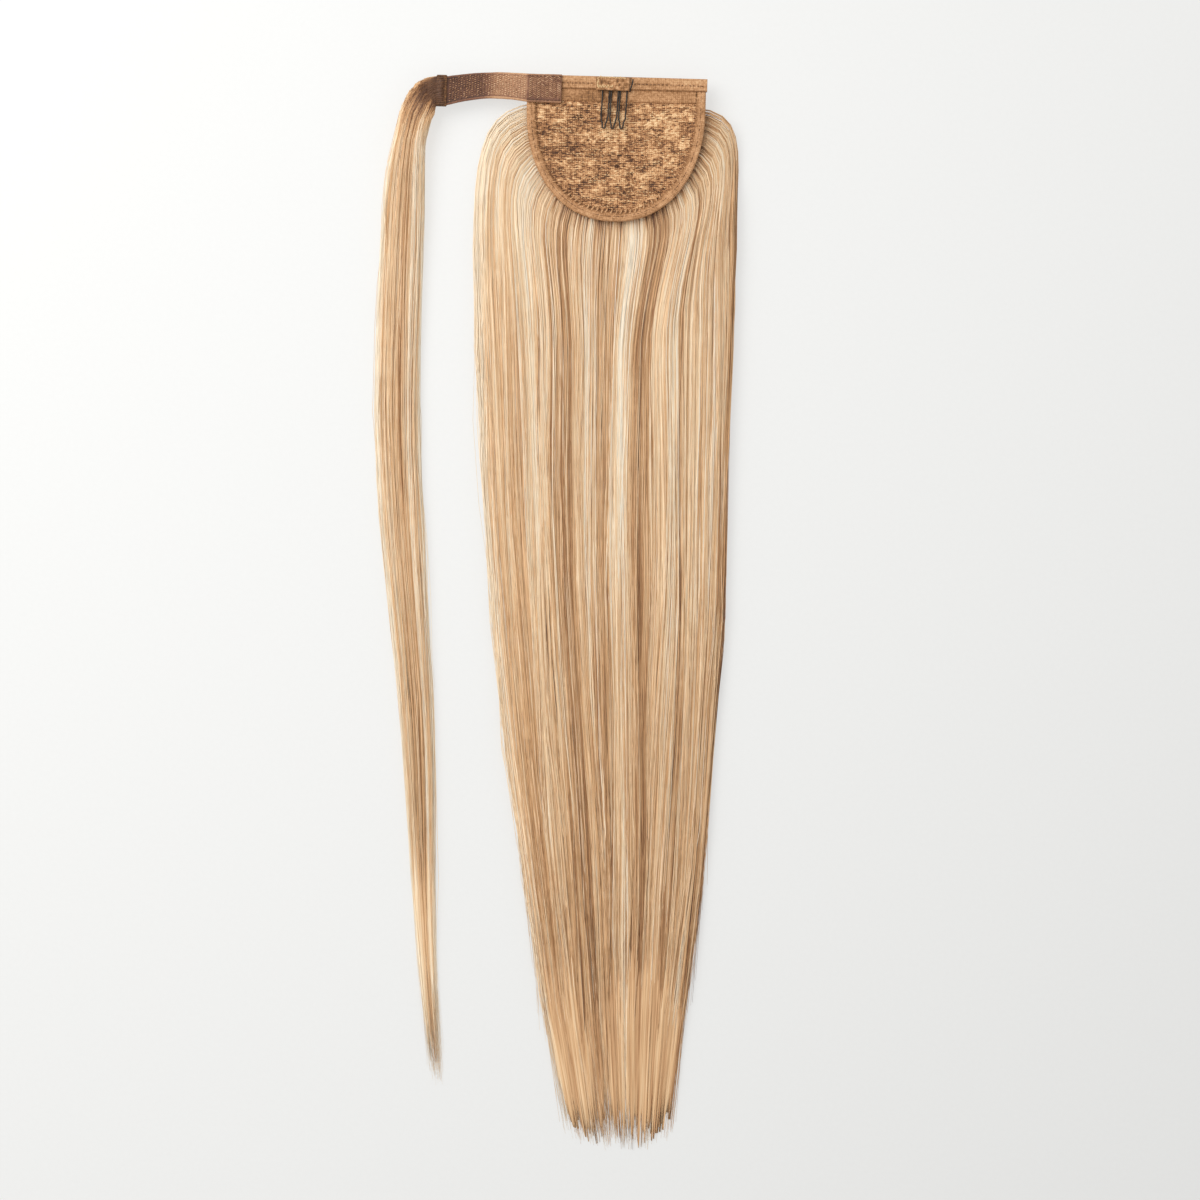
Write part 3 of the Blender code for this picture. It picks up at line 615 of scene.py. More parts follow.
def makeBand():
    half, over = cap["half"], band["overhang"]
    x = np.linspace(-half, half + over, band["points"])
    width = cap["bandWidth"]

    def relief(r, inset):
        lean = r + 0.35 * inset + 0.0016 * softNoise(r / 0.005, inset / 0.004, 51)
        ridge = np.sin(2 * math.pi * lean / band["puckerPitch"])
        inner = smoothStep(inset / 0.0012) * smoothStep((width - 0.0008 - inset) / 0.0016)
        near = np.exp(-(((inset - band["stitchDown"]) / 0.0016) ** 2))
        strength = (0.20 + 0.80 * smoothStep(0.5 + softNoise(r / 0.009, 3, 52))) * near
        roll = 0.00022 * np.exp(-(((inset - 0.0022) / 0.0011) ** 2)) - 0.00012 * near
        soft = 0.00014 * softNoise(r / 0.005, inset / 0.003, 53)
        return (band["pucker"] * ridge * strength + soft + roll) * inner

    def tone(r, inset):
        seam = np.exp(-(((inset - band["stitchDown"]) / 0.0005) ** 2))
        seam = seam * (0.6 + 0.4 * softNoise(r / 0.0016, 0, 56))
        foot = smoothStep((inset - width + 0.0007) / 0.0004)
        worn = 0.07 * softNoise(r / 0.012, inset / 0.004, 54)
        worn = worn + 0.06 * softNoise(r / 0.0016, inset / 0.0014, 57)
        # a darker line along the seam, and painted shadow along the fold at its foot
        return band["tone"] - 0.08 * seam - 0.16 * foot + worn

    out = np.tile([0.0, -1.0], (len(x), 1))
    tapeBody(x, 0 * x, out, x - x[0], width, relief, "top_tape", ["top_band"], tone)

    # its seam runs from the hook tape to the right end, clear of the pocket
    at = np.arange(-half + 0.0206, half - 0.001, band["stitchPitch"])
    at = at[(at < -0.0122) | (at > 0.0088)]
    steps = at[:, None] + np.linspace(-0.0007, 0.0007, 4)
    down = band["stitchDown"] + 0.00012 * softNoise(steps / 0.01, 0, 55)
    paths = onCap(steps, down, cap["fold"] + arch(-0.0001, 0.00016))
    addRound("band_seam", paths, band["stitchRadius"], brownThread)


makeBinding()
makeBand()
print("folded tapes done")


# Plain yoke, comb pocket and comb

yoke = {"foot": 0.0141, "tucked": 0.0040, "reach": 0.0445, "top": 0.0019, "hidden": 0.00085, "tone": 0.45}
pocket = {
    "left": -0.01155, "right": 0.00795, "top": 0.0004, "foot": 0.0082, "low": 0.0022, "high": 0.0047,
    "wall": 0.0010, "tone": 0.41, "flat": (0.0235, 0.0102), "area": 2.0e-4, "threadRadius": 0.00024,
    # zigzag seams: start and end from the pocket's left side and the cap's top, points and height
    "zigzags": [
        ((0.0006, 0.0066), (0.0098, 0.0060), 13, 0.0008), ((0.0010, 0.0014), (0.0010, 0.0068), 13, 0.0004),
        ((0.0016, 0.0012), (0.0165, 0.0014), 29, 0.0003),
    ],
}
comb = {
    "teeth": 3, "wire": 0.0009, "pitch": 0.0049, "legPitch": 0.00108, "length": 0.0212, "point": 0.0072,
    "pointWidth": 0.0016, "centre": -0.0018, "level": 0.00265, "lift": 0.0008, "spine": 0.0026,
    "waver": 0.00011, "lean": 0.0009,
}


def makeYoke():
    down = np.linspace(yoke["tucked"], yoke["foot"], 18)[:, None]
    x, down = np.broadcast_arrays(np.linspace(-1, 1, 150) * yoke["reach"], down)
    seen = smoothStep((down - cap["bandWidth"] - 0.0002) / 0.0008)
    # soft wrinkles that run slantwise from the comb, and a fine tug along the lower seam
    near = np.exp(-(((x + 0.002) / 0.022) ** 2))
    slant = x + 0.9 * np.sign(x + 0.002) * down
    wrinkle = 0.00016 * (0.25 + near) * softNoise(slant / 0.0030, down / 0.012 + np.sign(x + 0.002), 61)
    tug = 0.00010 * softNoise(x / 0.0018, down / 0.003, 62) * smoothStep((down - 0.0118) / 0.002)
    high = yoke["hidden"] + (yoke["top"] - 0.0003 - yoke["hidden"]) * seen
    edge = smoothStep((yoke["foot"] - down) / 0.0005)
    top = onCap(x, down, high * edge + 0.0009 * (1 - edge) + (wrinkle + tug) * seen * edge)
    bottom = onCap(x, down, cap["net"] + 0.00004)
    # painted light on the wrinkles' crests and painted shade in their troughs
    tone = yoke["tone"] + 0.12 * softNoise(x / 0.008, down / 0.004, 63) + wrinkle * 500
    tone = tone - 0.08 * smoothStep((-x - 0.004) / 0.012)
    piece = addGrid("yoke_net", top, bottom, wovenTape, ["net_yoke"], tone, (x, down))


def makePocket():
    # a folded flap over the comb's turns: rounded top and sides, open at its foot
    left, right, wall = pocket["left"], pocket["right"], pocket["wall"]
    low, high = pocket["low"], pocket["high"]
    start = pocket["top"] + np.array([0, 0.0002, 0.0006, 0.0012])
    down = np.concatenate([start, np.linspace(0.0022, pocket["foot"], 14)])
    rise = np.array([0.25, 0.62, 0.90, 1.0] + [1.0] * 14)
    across = np.linspace(0, 1, 48)
    side = smoothStep(across / 0.075) * smoothStep((1 - across) / 0.075)
    rings = []
    for at, lift in zip(down, rise):
        sag = 0.00042 * softNoise(across * 15, at / 0.0015, 71)
        top = low + (high - low) * lift * (0.12 + 0.88 * side) + sag * side * lift
        outer = onCap(left + (right - left) * across, at + 0 * across, top)
        thin = wall * (0.9 if at > pocket["top"] + 0.001 else 0.3)
        inner = np.clip((across - 0.5) * (1 - 2 * wall / (right - left)) + 0.5, 0, 1)
        under = np.maximum(top - thin, low + 0.00002)
        lower = onCap(left + (right - left) * inner, at + 0 * across, np.minimum(under, top - 0.0001))
        rings.append(np.concatenate([outer, lower[::-1]]))
    points, faces = closedSweep(np.array(rings))
    girth = np.concatenate([across, across[::-1]]) * (right - left)
    flow = np.stack(np.broadcast_arrays(girth, down[:, None]), axis=-1).reshape(-1, 2)
    worn = pocket["tone"] + 0.24 * softNoise(flow[:, 0] / 0.0015, flow[:, 1] / 0.0013, 72)
    piece = addPiece(
        "pocket_flap", points, faces, wovenTape, ["comb_pocket"], {"tone": worn}, flow
    )

    # zigzag stitches along its middle, its left side and its top
    def zigzag(start, end, count, height):
        start, end = np.array([left, 0]) + start, np.array([left, 0]) + end
        t = np.linspace(0, 1, count)
        line = np.outer(1 - t, start) + np.outer(t, end)
        swing = np.where(np.arange(count) % 2 == 0, -1, 1) * height
        turn = np.array([-(end[1] - start[1]), end[0] - start[0]])
        line += np.outer(swing, turn / np.linalg.norm(turn))
        return line + rng.normal(0, 0.00018, line.shape)

    lines = [zigzag(*seam) for seam in pocket["zigzags"]]
    parts, faces, base = [], [], 0
    for line in lines:
        steps = np.linspace(0, len(line) - 1, 4 * len(line))
        x, down = (np.interp(steps, np.arange(len(line)), line[:, i]) for i in (0, 1))
        path = onCap(x, down, high + 0.0001 + 0.00008 * np.sin(steps * math.pi))[None]
        some, their = tubes(path, np.full(path.shape[:2], pocket["threadRadius"]), sides=5)
        parts.append(some)
        faces += [part + base for part in their]
        base += len(some)
    sizes = {part.shape[1] for part in faces}
    faces = [np.concatenate([part for part in faces if part.shape[1] == size]) for size in sizes]
    addPiece("pocket_zigzag", np.concatenate(parts), faces, paleThread)


def combRoute():
    halfTooth = (comb["pitch"] - comb["legPitch"]) / 2
    first = comb["centre"] - comb["pitch"] * (comb["teeth"] - 1) / 2
    foot = pocket["foot"] + comb["length"]
    bend, tip = comb["legPitch"] / 2, comb["pointWidth"] / 2
    route = []
    for number in range(comb["teeth"]):
        middle = first + number * comb["pitch"]
        legs = np.linspace(comb["spine"] + bend, foot - comb["point"], 16)
        narrow = np.linspace(0, 1, 8)[1:-1]
        ease = smoothStep(narrow)
        narrowX = halfTooth + (tip - halfTooth) * ease
        narrowDown = foot - comb["point"] + narrow * (comb["point"] - tip)
        angle = np.linspace(0, math.pi, 9)
        route += [(middle - halfTooth, down) for down in legs]
        route += [(middle - x, down) for x, down in zip(narrowX, narrowDown)]
        route += [(middle - tip * math.cos(a), foot - tip + tip * math.sin(a)) for a in angle]
        route += [(middle + x, down) for x, down in zip(narrowX[::-1], narrowDown[::-1])]
        route += [(middle + halfTooth, down) for down in legs[::-1]]
        if number < comb["teeth"] - 1:
            gap = middle + comb["pitch"] / 2
            top = comb["spine"] + bend
            route += [(gap - bend * math.cos(a), top - bend * math.sin(a)) for a in angle[1:-1]]
    return np.array(route)


def makeComb():
    x, down = combRoute().T
    out = np.clip((down - pocket["foot"]) / comb["length"], 0, 1)
    x = x + comb["waver"] * np.sin(down / 0.0036 * 2 * math.pi + x * 900) * smoothStep(out * 4)
    x = x + comb["lean"] * (1 - out)  # it leans a little to the right
    path = onCap(x, down, comb["level"] + comb["lift"] * out**2)[None]
    addRound("comb_wires", path, comb["wire"] / 2, lacqueredWire, 8, ["comb"])
    # the wire's end comes out beside the pocket
    t = np.linspace(0, 1, 12)
    x = pocket["right"] + 0.0010 - 0.0014 * t + 0.0002 * np.sin(t * 5)
    level = pocket["high"] + 0.0001 - 0.0013 * smoothStep((t - 0.75) / 0.25)
    path = onCap(x, 0.0020 + 0.0066 * t, level)[None]
    addRound("comb_wire_end", path, comb["wire"] / 2 - 0.00003, lacqueredWire, 8)


makeYoke()
makePocket()
makeComb()
print("yoke, pocket and comb done")


# Hook tape and the sleeve at its end

hookTape = {
    "width": 0.016, "thick": 0.0012, "overlap": 0.0192, "free": 0.045, "droop": 0.0026, "sag": 0.0030,
    "bow": 0.0020, "twist": math.radians(16), "above": 0.0028, "middle": 0.008, "endHeight": 0.0120,
    "columnPitch": 0.00155, "dotPitch": 0.00130, "dotRadius": 0.00028,
    "chevronPitch": 0.00225, "chevronRow": 0.00112, "chevronRadius": 0.00026, "lean": 0.00062,
    "seamPitch": 0.0021, "seamAcross": 0.0069, "seamRadius": 0.00017, "tucked": 0.0025,
}
sleeve = {
    "right": -0.095, "length": 0.0056, "halfAcross": 0.0088, "halfUp": 0.0019, "inner": 0.0010,
    "threadPitch": 0.0011, "threadRadius": 0.00022, "hem": 0.42,
}


def onHookTape(along, across, up):
    # along: from the end that is sewn to the cap. across: from the middle line towards the hair
    along, across, up = np.broadcast_arrays(along, across, up)
    half, middle = cap["half"], hookTape["middle"]
    sewn = along <= hookTape["overlap"]
    xCap = -half + hookTape["overlap"] - along
    share = np.clip((along - hookTape["overlap"]) / hookTape["free"], 0, 1)
    past = np.maximum(along - hookTape["overlap"] - hookTape["free"], 0)
    swell = np.sin(math.pi * share)
    start = rimLevel(middle) + hookTape["above"]
    slope = (rimLevel(middle + 0.008) - rimLevel(middle - 0.008)) / hookTape["width"]
    tilt = math.atan(slope) * (1 - share) + hookTape["twist"] * swell
    level = start + (hookTape["endHeight"] - start) * share - hookTape["sag"] * swell
    x = np.where(sewn, xCap, -half - hookTape["free"] * share - past)
    down = middle + hookTape["droop"] * share**2 - hookTape["bow"] * swell
    down = down + across * np.where(sewn, 1, np.cos(tilt)) - np.where(sewn, 0, up * np.sin(tilt))
    onNet = netLevel(xCap, middle + across) + hookTape["above"] + up
    free = level + across * np.sin(tilt) + up * np.cos(tilt)
    return toWorld(*turned(x, down), np.where(sewn, onNet, free))


def hookDarkAndTwistShade(along):
    # the hooks over the cap are darker than the loops between, and the twisted stretch by the sleeve has
    # painted shade, as it tilts away from the light
    overCap = smoothStep((hookTape["overlap"] + 0.0006 - along) / 0.0012)
    return 0.15 * overCap + 0.29 * smoothStep((along - 0.035) / 0.012)


def makeHookTape():
    length = hookTape["overlap"] + hookTape["free"] + hookTape["tucked"]
    along = np.linspace(0, length, 180)[:, None]
    half = hookTape["width"] / 2
    across = np.linspace(-1, 1, 25) * half
    edge = np.abs(across) / half
    # a smooth selvedge along each side, with the pile between them
    selvedge = smoothStep((edge - 0.84) / 0.04)
    groove = np.exp(-(((edge - 0.82) / 0.03) ** 2))
    pile = 0.00008 * softNoise(along / 0.0011, across / 0.0011, 81)
    wave = 0.00010 * softNoise(along / 0.008, across / 0.006, 82)
    sides = 0.00035 * smoothStep((edge - 0.94) / 0.06)
    top = hookTape["thick"] / 2 + pile * (1 - selvedge) + wave - 0.00016 * groove - sides
    outside = across * (1 + 0.012 * softNoise(along / 0.004, 0, 83))
    bottom = onHookTape(along, outside, -hookTape["thick"] / 2)
    # painted shade on the twisted stretch and in the grooves beside the selvedges
    tone = 0.53 - 1.15 * hookDarkAndTwistShade(along) + 0.15 * selvedge - 0.18 * groove
    tone = tone + 0.05 * softNoise(along / 0.006, across / 0.005, 84)
    top = onHookTape(along, outside, top)
    piece = addGrid(
        "hook_tape_cloth", top[::-1], bottom[::-1], hookPile, ["hook_tape"], tone[::-1]
    )

    # loops of the free stretch, in columns of short slanting tufts
    step = np.array([-1.0, -0.4, 0.4, 1.0])
    paths, tones = [], []
    columns = np.arange(hookTape["overlap"] + 0.0012, length - 0.003, hookTape["columnPitch"])
    for number, at in enumerate(columns):
        shift = (number % 2) * hookTape["dotPitch"] / 2
        for row in np.arange(-0.0062, 0.0060, hookTape["dotPitch"]) + shift:
            a = at + rng.normal(0, 0.00012) + 0.00036 * step
            c = row + rng.normal(0, 0.00012) + rng.normal(0, 0.00018) * step
            paths.append(onHookTape(a, c, hookTape["thick"] / 2 + arch(0, 0.00034)))
            # painted shade on the twisted stretch, as on the cloth
            tones.append(0.86 - 1.0 * hookDarkAndTwistShade(at) + rng.normal(0, 0.10))
    free = len(paths)
    # hooks over the cap, woven in chevrons
    columns = np.arange(0.0014, hookTape["overlap"] - 0.0004, hookTape["chevronPitch"])
    for number, at in enumerate(columns):
        lean = hookTape["lean"] if number % 2 else -hookTape["lean"]
        for row in np.arange(-0.0062, 0.0060, hookTape["chevronRow"]):
            a = at + 0.00098 * step
            c = row + lean * step + rng.normal(0, 0.00006)
            paths.append(onHookTape(a, c, hookTape["thick"] / 2 + arch(0.00002, 0.00026)))
            tones.append(0.66 + rng.normal(0, 0.10))
    thick = np.where(np.arange(len(paths)) < free, hookTape["dotRadius"], hookTape["chevronRadius"])
    points, faces = tubes(np.array(paths), thick[:, None] * np.ones(4))
    tones = np.repeat(np.clip(tones, 0.1, 1), 4 * 3)
    addPiece("hook_tape_pile", points, faces, hookPile, values={"tone": tones})

    # seams on the cap: along both selvedges and across the end
    step = np.array([-0.0007, -0.0003, 0.0003, 0.0007])
    rise = hookTape["thick"] / 2 + arch(-0.0001, 0.00014)
    stitches = [
        onHookTape(a + step, side * hookTape["seamAcross"], rise)
        for side in (1, -1) for a in np.arange(0.0012, 0.0190, hookTape["seamPitch"])
    ]
    ends = np.arange(-0.0062, 0.0066, hookTape["seamPitch"])
    stitches += [onHookTape(0.0009, c + step, rise) for c in ends]
    addRound("hook_tape_seam", stitches, hookTape["seamRadius"], brownThread)


def makeSleeve():
    # a flat tube of tape with both ends turned in as hems
    length = sleeve["length"]
    profile = np.array([
        (0, 0.3), (0.05, 0), (0.35, -0.02), (0.5, 0.0), (0.65, -0.02), (0.95, 0), (1, 0.3), (1, 0.7),
        (0.95, 1.0), (0.58, 1.0), (0.58, 0.62), (0.93, 0.60), (0.93, 0.42), (0.5, 0.40), (0.07, 0.42),
        (0.07, 0.60), (0.42, 0.62), (0.42, 1.0), (0.05, 1.0), (0, 0.7),
    ])
    place, depth = (profile * (length, sleeve["inner"])).T
    angle = np.linspace(0, 2 * math.pi, 73)[:-1]
    cosine = np.sign(np.cos(angle)) * np.abs(np.cos(angle)) ** 0.35
    sine = np.sign(np.sin(angle)) * np.abs(np.sin(angle)) ** 0.7
    across = cosine[:, None] * (sleeve["halfAcross"] - depth)
    up = sine[:, None] * (sleeve["halfUp"] - depth)
    gather = 0.00010 * np.sin(angle * 14)[:, None]  # puckers of the elastic
    x = sleeve["right"] - length + place + gather
    down = hookTape["middle"] + hookTape["droop"] + across
    rings = toWorld(*turned(x, down), hookTape["endHeight"] + up + gather * 0.6)
    points, faces = closedSweep(rings[::-1], loop=True)
    girth = 4 * (sleeve["halfAcross"] + sleeve["halfUp"]) * 0.97
    around = (angle / 2 / math.pi * girth)[:, None]
    flow = np.stack(np.broadcast_arrays(place, around), -1).reshape(-1, 2)
    # painted shade keeps it dark, apart from the end that takes the tape
    tone = 0.14 * softNoise(flow[:, 0] / 0.002, flow[:, 1] / 0.0016, 91)
    tone = tone + 0.16 * smoothStep((flow[:, 0] / length - 0.72) / 0.12)
    piece = addPiece(
        "sleeve_fold", points, faces, wovenTape, ["root_sleeve"], {"tone": tone}, flow
    )

    # dark thread wound over the fold
    paths = []
    x = sleeve["right"] - length * np.array([0.05, 0.3, 0.7, 0.98])
    level = hookTape["endHeight"] + sleeve["halfUp"] + arch(-0.0001, 0.0002)
    for c in np.arange(-0.0078, 0.0080, sleeve["threadPitch"]):
        lean = rng.normal(0, 0.0003) * np.array([-1, -0.3, 0.3, 1])
        down = hookTape["middle"] + hookTape["droop"] + c + lean
        paths.append(toWorld(*turned(x, down), level))
    addRound("sleeve_stitches", paths, sleeve["threadRadius"], brownThread, 5)


makeHookTape()
makeSleeve()
print("hook tape and sleeve done")


# Main fall of hair

fall = {
    # down, left edge, right edge and thickness, in millimetres
    "outline": [
        (14, 45.0, 45.0, 8.8), (17, 51.8, 48.8, 9.3), (20, 59.3, 50.6, 9.6), (26, 65.0, 55.5, 10.2),
        (31, 69.5, 58.8, 10.9), (37, 73.5, 61.5, 11.8), (44, 76.7, 64.2, 12.8), (55, 79.1, 66.8, 14.1),
        (72, 80.3, 68.8, 15.4), (92, 81.0, 68.5, 16.0), (125, 80.3, 67.2, 15.5), (170, 77.9, 65.0, 14.4),
        (248, 74.6, 62.7, 12.5), (304, 70.7, 61.7, 11.2), (372, 63.8, 56.0, 9.6), (439, 54.3, 51.0, 8.0),
        (506, 45.5, 42.5, 6.4), (551, 38.0, 37.1, 4.8), (570, 33.4, 34.4, 4.0), (602, 26.4, 30.4, 1.6),
    ],
    "inside": 0.0012,  # how far the drawn hair keeps inside that outline
    "tucked": 0.007,  # how far it starts inside the cap's rim
    "locks": 240, "perLock": 24,
    "perWisp": 4,  # hairs that lie close together in a lock
    "under": 0.78,  # share of the hairs that lie under the others and end earlier
    "steps": (9, 8),  # points in the bend at the cap and in the straight fall
    "width": 0.00016,  # radius, about four times that of a real hair so that it shows
    "reach": 0.605,
    "pieces": 4,
    # highlights and lowlights from left to right: place across, and tone from dark to pale; the pale left
    # edge is painted light, and the dark right edge painted shade
    "streaks": [
        (0.00, 0.94), (0.025, 0.88), (0.05, 0.60), (0.09, 0.66), (0.125, 0.50), (0.16, 0.64), (0.19, 0.80),
        (0.23, 0.64), (0.27, 0.76), (0.30, 0.60), (0.33, 0.52), (0.365, 0.47), (0.39, 0.74), (0.44, 0.78),
        (0.47, 0.50), (0.50, 0.54), (0.54, 0.72), (0.575, 0.82), (0.61, 0.48), (0.65, 0.50), (0.69, 0.64),
        (0.745, 0.74), (0.79, 0.58), (0.82, 0.74), (0.86, 0.54), (0.89, 0.58), (0.92, 0.72), (0.95, 0.62),
        (0.975, 0.48), (0.99, 0.38), (1.00, 0.32),
    ],
}
outline = np.array(fall["outline"]) / 1000
rimX, rimDown, rimOut, rimRun = rimPoints(0.0155)
rimX, rimDown = turned(rimX, rimDown)


def crown(place):
    return 0.30 + 0.70 * np.sqrt(np.clip(1 - np.abs(place) ** 3, 0, 1))


def fallSurface(x, down):
    left, right, thick = (np.interp(down, outline[:, 0], outline[:, i]) for i in (1, 2, 3))
    return thick * crown(np.clip(x / np.where(x < 0, left, right), -1, 1))


def fallAcross(place, down):
    left = np.interp(down, outline[:, 0], outline[:, 1]) - fall["inside"]
    right = np.interp(down, outline[:, 0], outline[:, 2]) - fall["inside"]
    return -left + (left + right) * place


def fallPaths(place, reach):
    # hairs from the cap's rim to their tips: x, down, height and run, each (count, steps)
    bendSteps, fallSteps = fall["steps"]
    at = np.clip(place, 0, 1) * rimRun[-1]
    out = np.stack([np.interp(at, rimRun, rimOut[:, i]) for i in (0, 1)], axis=1)
    out[:, 1] += 0.08
    out /= np.linalg.norm(out, axis=1, keepdims=True)
    rootX = np.interp(at, rimRun, rimX) - out[:, 0] * fall["tucked"]
    rootDown = np.interp(at, rimRun, rimDown) - out[:, 1] * fall["tucked"]
    side = np.abs(2 * place - 1)
    joinDown = 0.165 - 0.070 * side**3
    joinX = fallAcross(place, joinDown)
    firstHandle = 0.020 + 0.014 * side
    lastHandle = (joinDown - rootDown) * (0.45 + 0.26 * side)
    t = np.linspace(0, 1, bendSteps + 1)[:-1]
    a, b, c, d = (1 - t) ** 3, 3 * (1 - t) ** 2 * t, 3 * (1 - t) * t**2, t**3
    bendX = np.outer(rootX, a) + np.outer(rootX + out[:, 0] * firstHandle, b) + np.outer(joinX, c + d)
    bendDown = (
        np.outer(rootDown, a) + np.outer(rootDown + out[:, 1] * firstHandle, b)
        + np.outer(joinDown - lastHandle, c) + np.outer(joinDown, d)
    )
    lower = joinDown[:, None] + (reach - joinDown)[:, None] * np.linspace(0, 1, fallSteps)
    x = np.concatenate([bendX, fallAcross(place[:, None], lower)], axis=1)
    down = np.concatenate([bendDown, lower], axis=1)
    run = np.cumsum(np.hypot(np.diff(x), np.diff(down)), axis=1)
    run = np.concatenate([np.zeros((len(place), 1)), run], axis=1)
    rootLevel = rimLevel(rootDown)[:, None] - cap["hairGap"] - 0.0004
    lift = smoothStep((run - fall["tucked"]) / 0.045)
    height = rootLevel * (1 - lift) + fallSurface(x, down) * lift
    return x, down, height * (1 - 0.35 * smoothStep((down - 0.555) / 0.04)), run


def fallTone(place, down):
    # the streaks fade a little and darken towards the tips
    places, tones = np.array(fall["streaks"]).T
    tone = np.interp(place, places, tones) + 0.11 * softNoise(place * 62, down * 3.5, 12)
    low = smoothStep((down - 0.16) / 0.34)
    tips = smoothStep((down - 0.50) / 0.08)
    pale = 0.12 * (1 - smoothStep((down - 0.06) / 0.10)) * (1 - smoothStep((place - 0.16) / 0.16))
    # light shines through the left edge, and the right shoulder is as light as the rest
    pale = pale + 0.14 * low * (1 - tips) * (1 - smoothStep((place - 0.02) / 0.03))
    pale = pale + 0.26 * (1 - smoothStep((down - 0.03) / 0.05)) * smoothStep((place - 0.94) / 0.05)
    return (tone - 0.62) * (1 - 0.40 * low) + 0.64 - 0.17 * low + pale - 0.05 * tips


def makeFallHair():
    locks, perLock = fall["locks"], fall["perLock"]
    count = locks * perLock
    lockOf = np.repeat(np.arange(locks), perLock)
    centre = ((np.arange(locks) + rng.uniform(0.2, 0.8, locks)) / locks)[lockOf]
    spread = (rng.uniform(1.0, 2.4, locks) / locks)[lockOf]
    wispOf = np.arange(count) // fall["perWisp"]
    wisps = wispOf[-1] + 1
    wispRow = wispOf[:, None]
    lockTone = rng.normal(0, 0.045, locks)[lockOf]
    # one wisp in five is a lowlight, and one in seven a highlight
    kind = rng.random(wisps)
    wispTone = rng.normal(0.01, 0.09, wisps) - 0.22 * (kind < 0.20) + 0.20 * (kind > 0.86)
    wispTone = np.where(centre < 0.12, np.maximum(wispTone[wispOf], -0.04), wispTone[wispOf])
    under = rng.random(wisps)[wispOf] < fall["under"]
    lockHeight = rng.normal(-0.0002, 0.00014, locks)[lockOf] + rng.normal(0, 0.00014, wisps)[wispOf]
    lockHeight = lockHeight - 0.00025 * under
    # painted shade where the hairs come out from under the cap's rim, deeper on some locks and faint at the
    # upper left
    rimShade = rng.uniform(0, 0.26, locks) + 0.42 * (rng.random(locks) < 0.26)
    rimShade = (rimShade[lockOf] * (0.25 + 0.75 * smoothStep((centre - 0.14) / 0.12)))[:, None]
    lockReach = fall["reach"] - np.abs(rng.normal(0, 0.008, locks))
    short = rng.random(locks) < 0.14
    lockReach[short] -= rng.uniform(0.03, 0.20, short.sum())
    across = rng.uniform(-1, 1, wisps)[wispOf] + rng.normal(0, 0.20, count)
    base = np.clip(centre, 0.003, 0.997)
    rounded = 0.008 * np.abs(2 * base - 1) ** 2.5
    # only some of the hairs reach the very end, so the tips thin out
    reach = lockReach[lockOf] - rng.gamma(1.6, 0.0095, count) - rounded
    reach = np.where(under, rng.uniform(0.46, 0.545, count) - rounded, reach)
    reach -= rng.uniform(0, 0.25, count) * (rng.random(count) < 0.04)
    x, down, height, run = fallPaths(base, reach)
    share = run / run[:, -1:]
    # each lock opens and closes along its run, and wanders a little
    width = np.interp(down, outline[:, 0], outline[:, 1] + outline[:, 2])
    lockRow = lockOf[:, None]
    hairRow = np.arange(count)[:, None]
    opened = (0.8 + 0.4 * softNoise(run * 10, lockRow, 3)) * (0.5 + 0.5 * smoothStep(run / 0.06))
    wander = 0.0010 * softNoise(run * 8, lockRow, 5) * smoothStep(run / 0.12)
    swayed = 0.0030 * softNoise(run * 5, base[:, None] * 9 + 0.4, 4) * smoothStep((run - 0.05) / 0.12)
    wander = wander + swayed * (1 - np.abs(2 * base[:, None] - 1) ** 6)
    stray = (0.0005 + 0.0020 * (rng.random(count) < 0.07) + 0.0010 * (base < 0.03))[:, None]
    loose = stray * softNoise(run * 13, hairRow, 6) * smoothStep((run - 0.04) / 0.14)
    loose = loose + 0.0008 * softNoise(run * 13, wispRow, 11) * smoothStep(run / 0.06)
    frayed = 0.0032 * softNoise(run * 30, hairRow, 7) * smoothStep((share - 0.9) / 0.1)
    x = x + across[:, None] * spread[:, None] * width * 0.5 * opened + wander + loose + frayed
    # a few deep hairs fill the sides, and the rest lie close under the top
    deep = np.where(rng.random(count) < 0.15, rng.uniform(0.25, 0.9, count), 1.0)
    dome = -0.0003 * across**2 + lockHeight + rng.normal(0, 0.00013, count)
    ripple = 0.00025 * softNoise(run * 11, lockRow, 8)
    height = height * deep[:, None] + (dome[:, None] + ripple) * smoothStep((run - 0.006) / 0.03)
    height = np.maximum(height * (1 - 0.2 * smoothStep((share - 0.94) / 0.06)), 0.0004)
    place = np.clip(base + rng.normal(0, 0.009, locks)[lockOf] * (np.abs(2 * base - 1) < 0.9), 0, 1)
    ownTone = lockTone + wispTone + rng.normal(0, 0.06, count)
    tone = fallTone(place[:, None], down) + ownTone[:, None]
    # painted shade by the cap's rim
    tone = tone - rimShade * (1 - smoothStep((run - 0.005) / 0.014))
    tone = tone + 0.06 * softNoise(run * 10, lockRow, 10) + 0.08 * softNoise(run * 16, wispRow, 9)
    # painted light where light shines through: the ends are pale and see-through, and so is the left side,
    # and the hairs under the others are tinted warm
    tips = smoothStep((share - 0.90) / 0.10) * np.where(under, 0, 1)[:, None]
    tone = np.clip(tone + 0.26 * tips, 0.02, 1)
    warm = np.where(under, 0.25, 0.1)[:, None] + 0.5 * smoothStep((0.055 - base) / 0.04)[:, None]
    warm = np.clip(warm + 0.6 * tips, 0, 1)
    thin = 0.35 + 0.65 * smoothStep((1 - share) / 0.06)
    radii = fall["width"] * rng.uniform(0.75, 1.25, count)[:, None] * thin
    paths = toWorld(x, down, height)
    for number, part in enumerate(np.array_split(np.argsort(rng.random(count)), fall["pieces"])):
        addHair(f"fall_hair_{number + 1}", paths[part], radii[part], tone[part], warm[part])


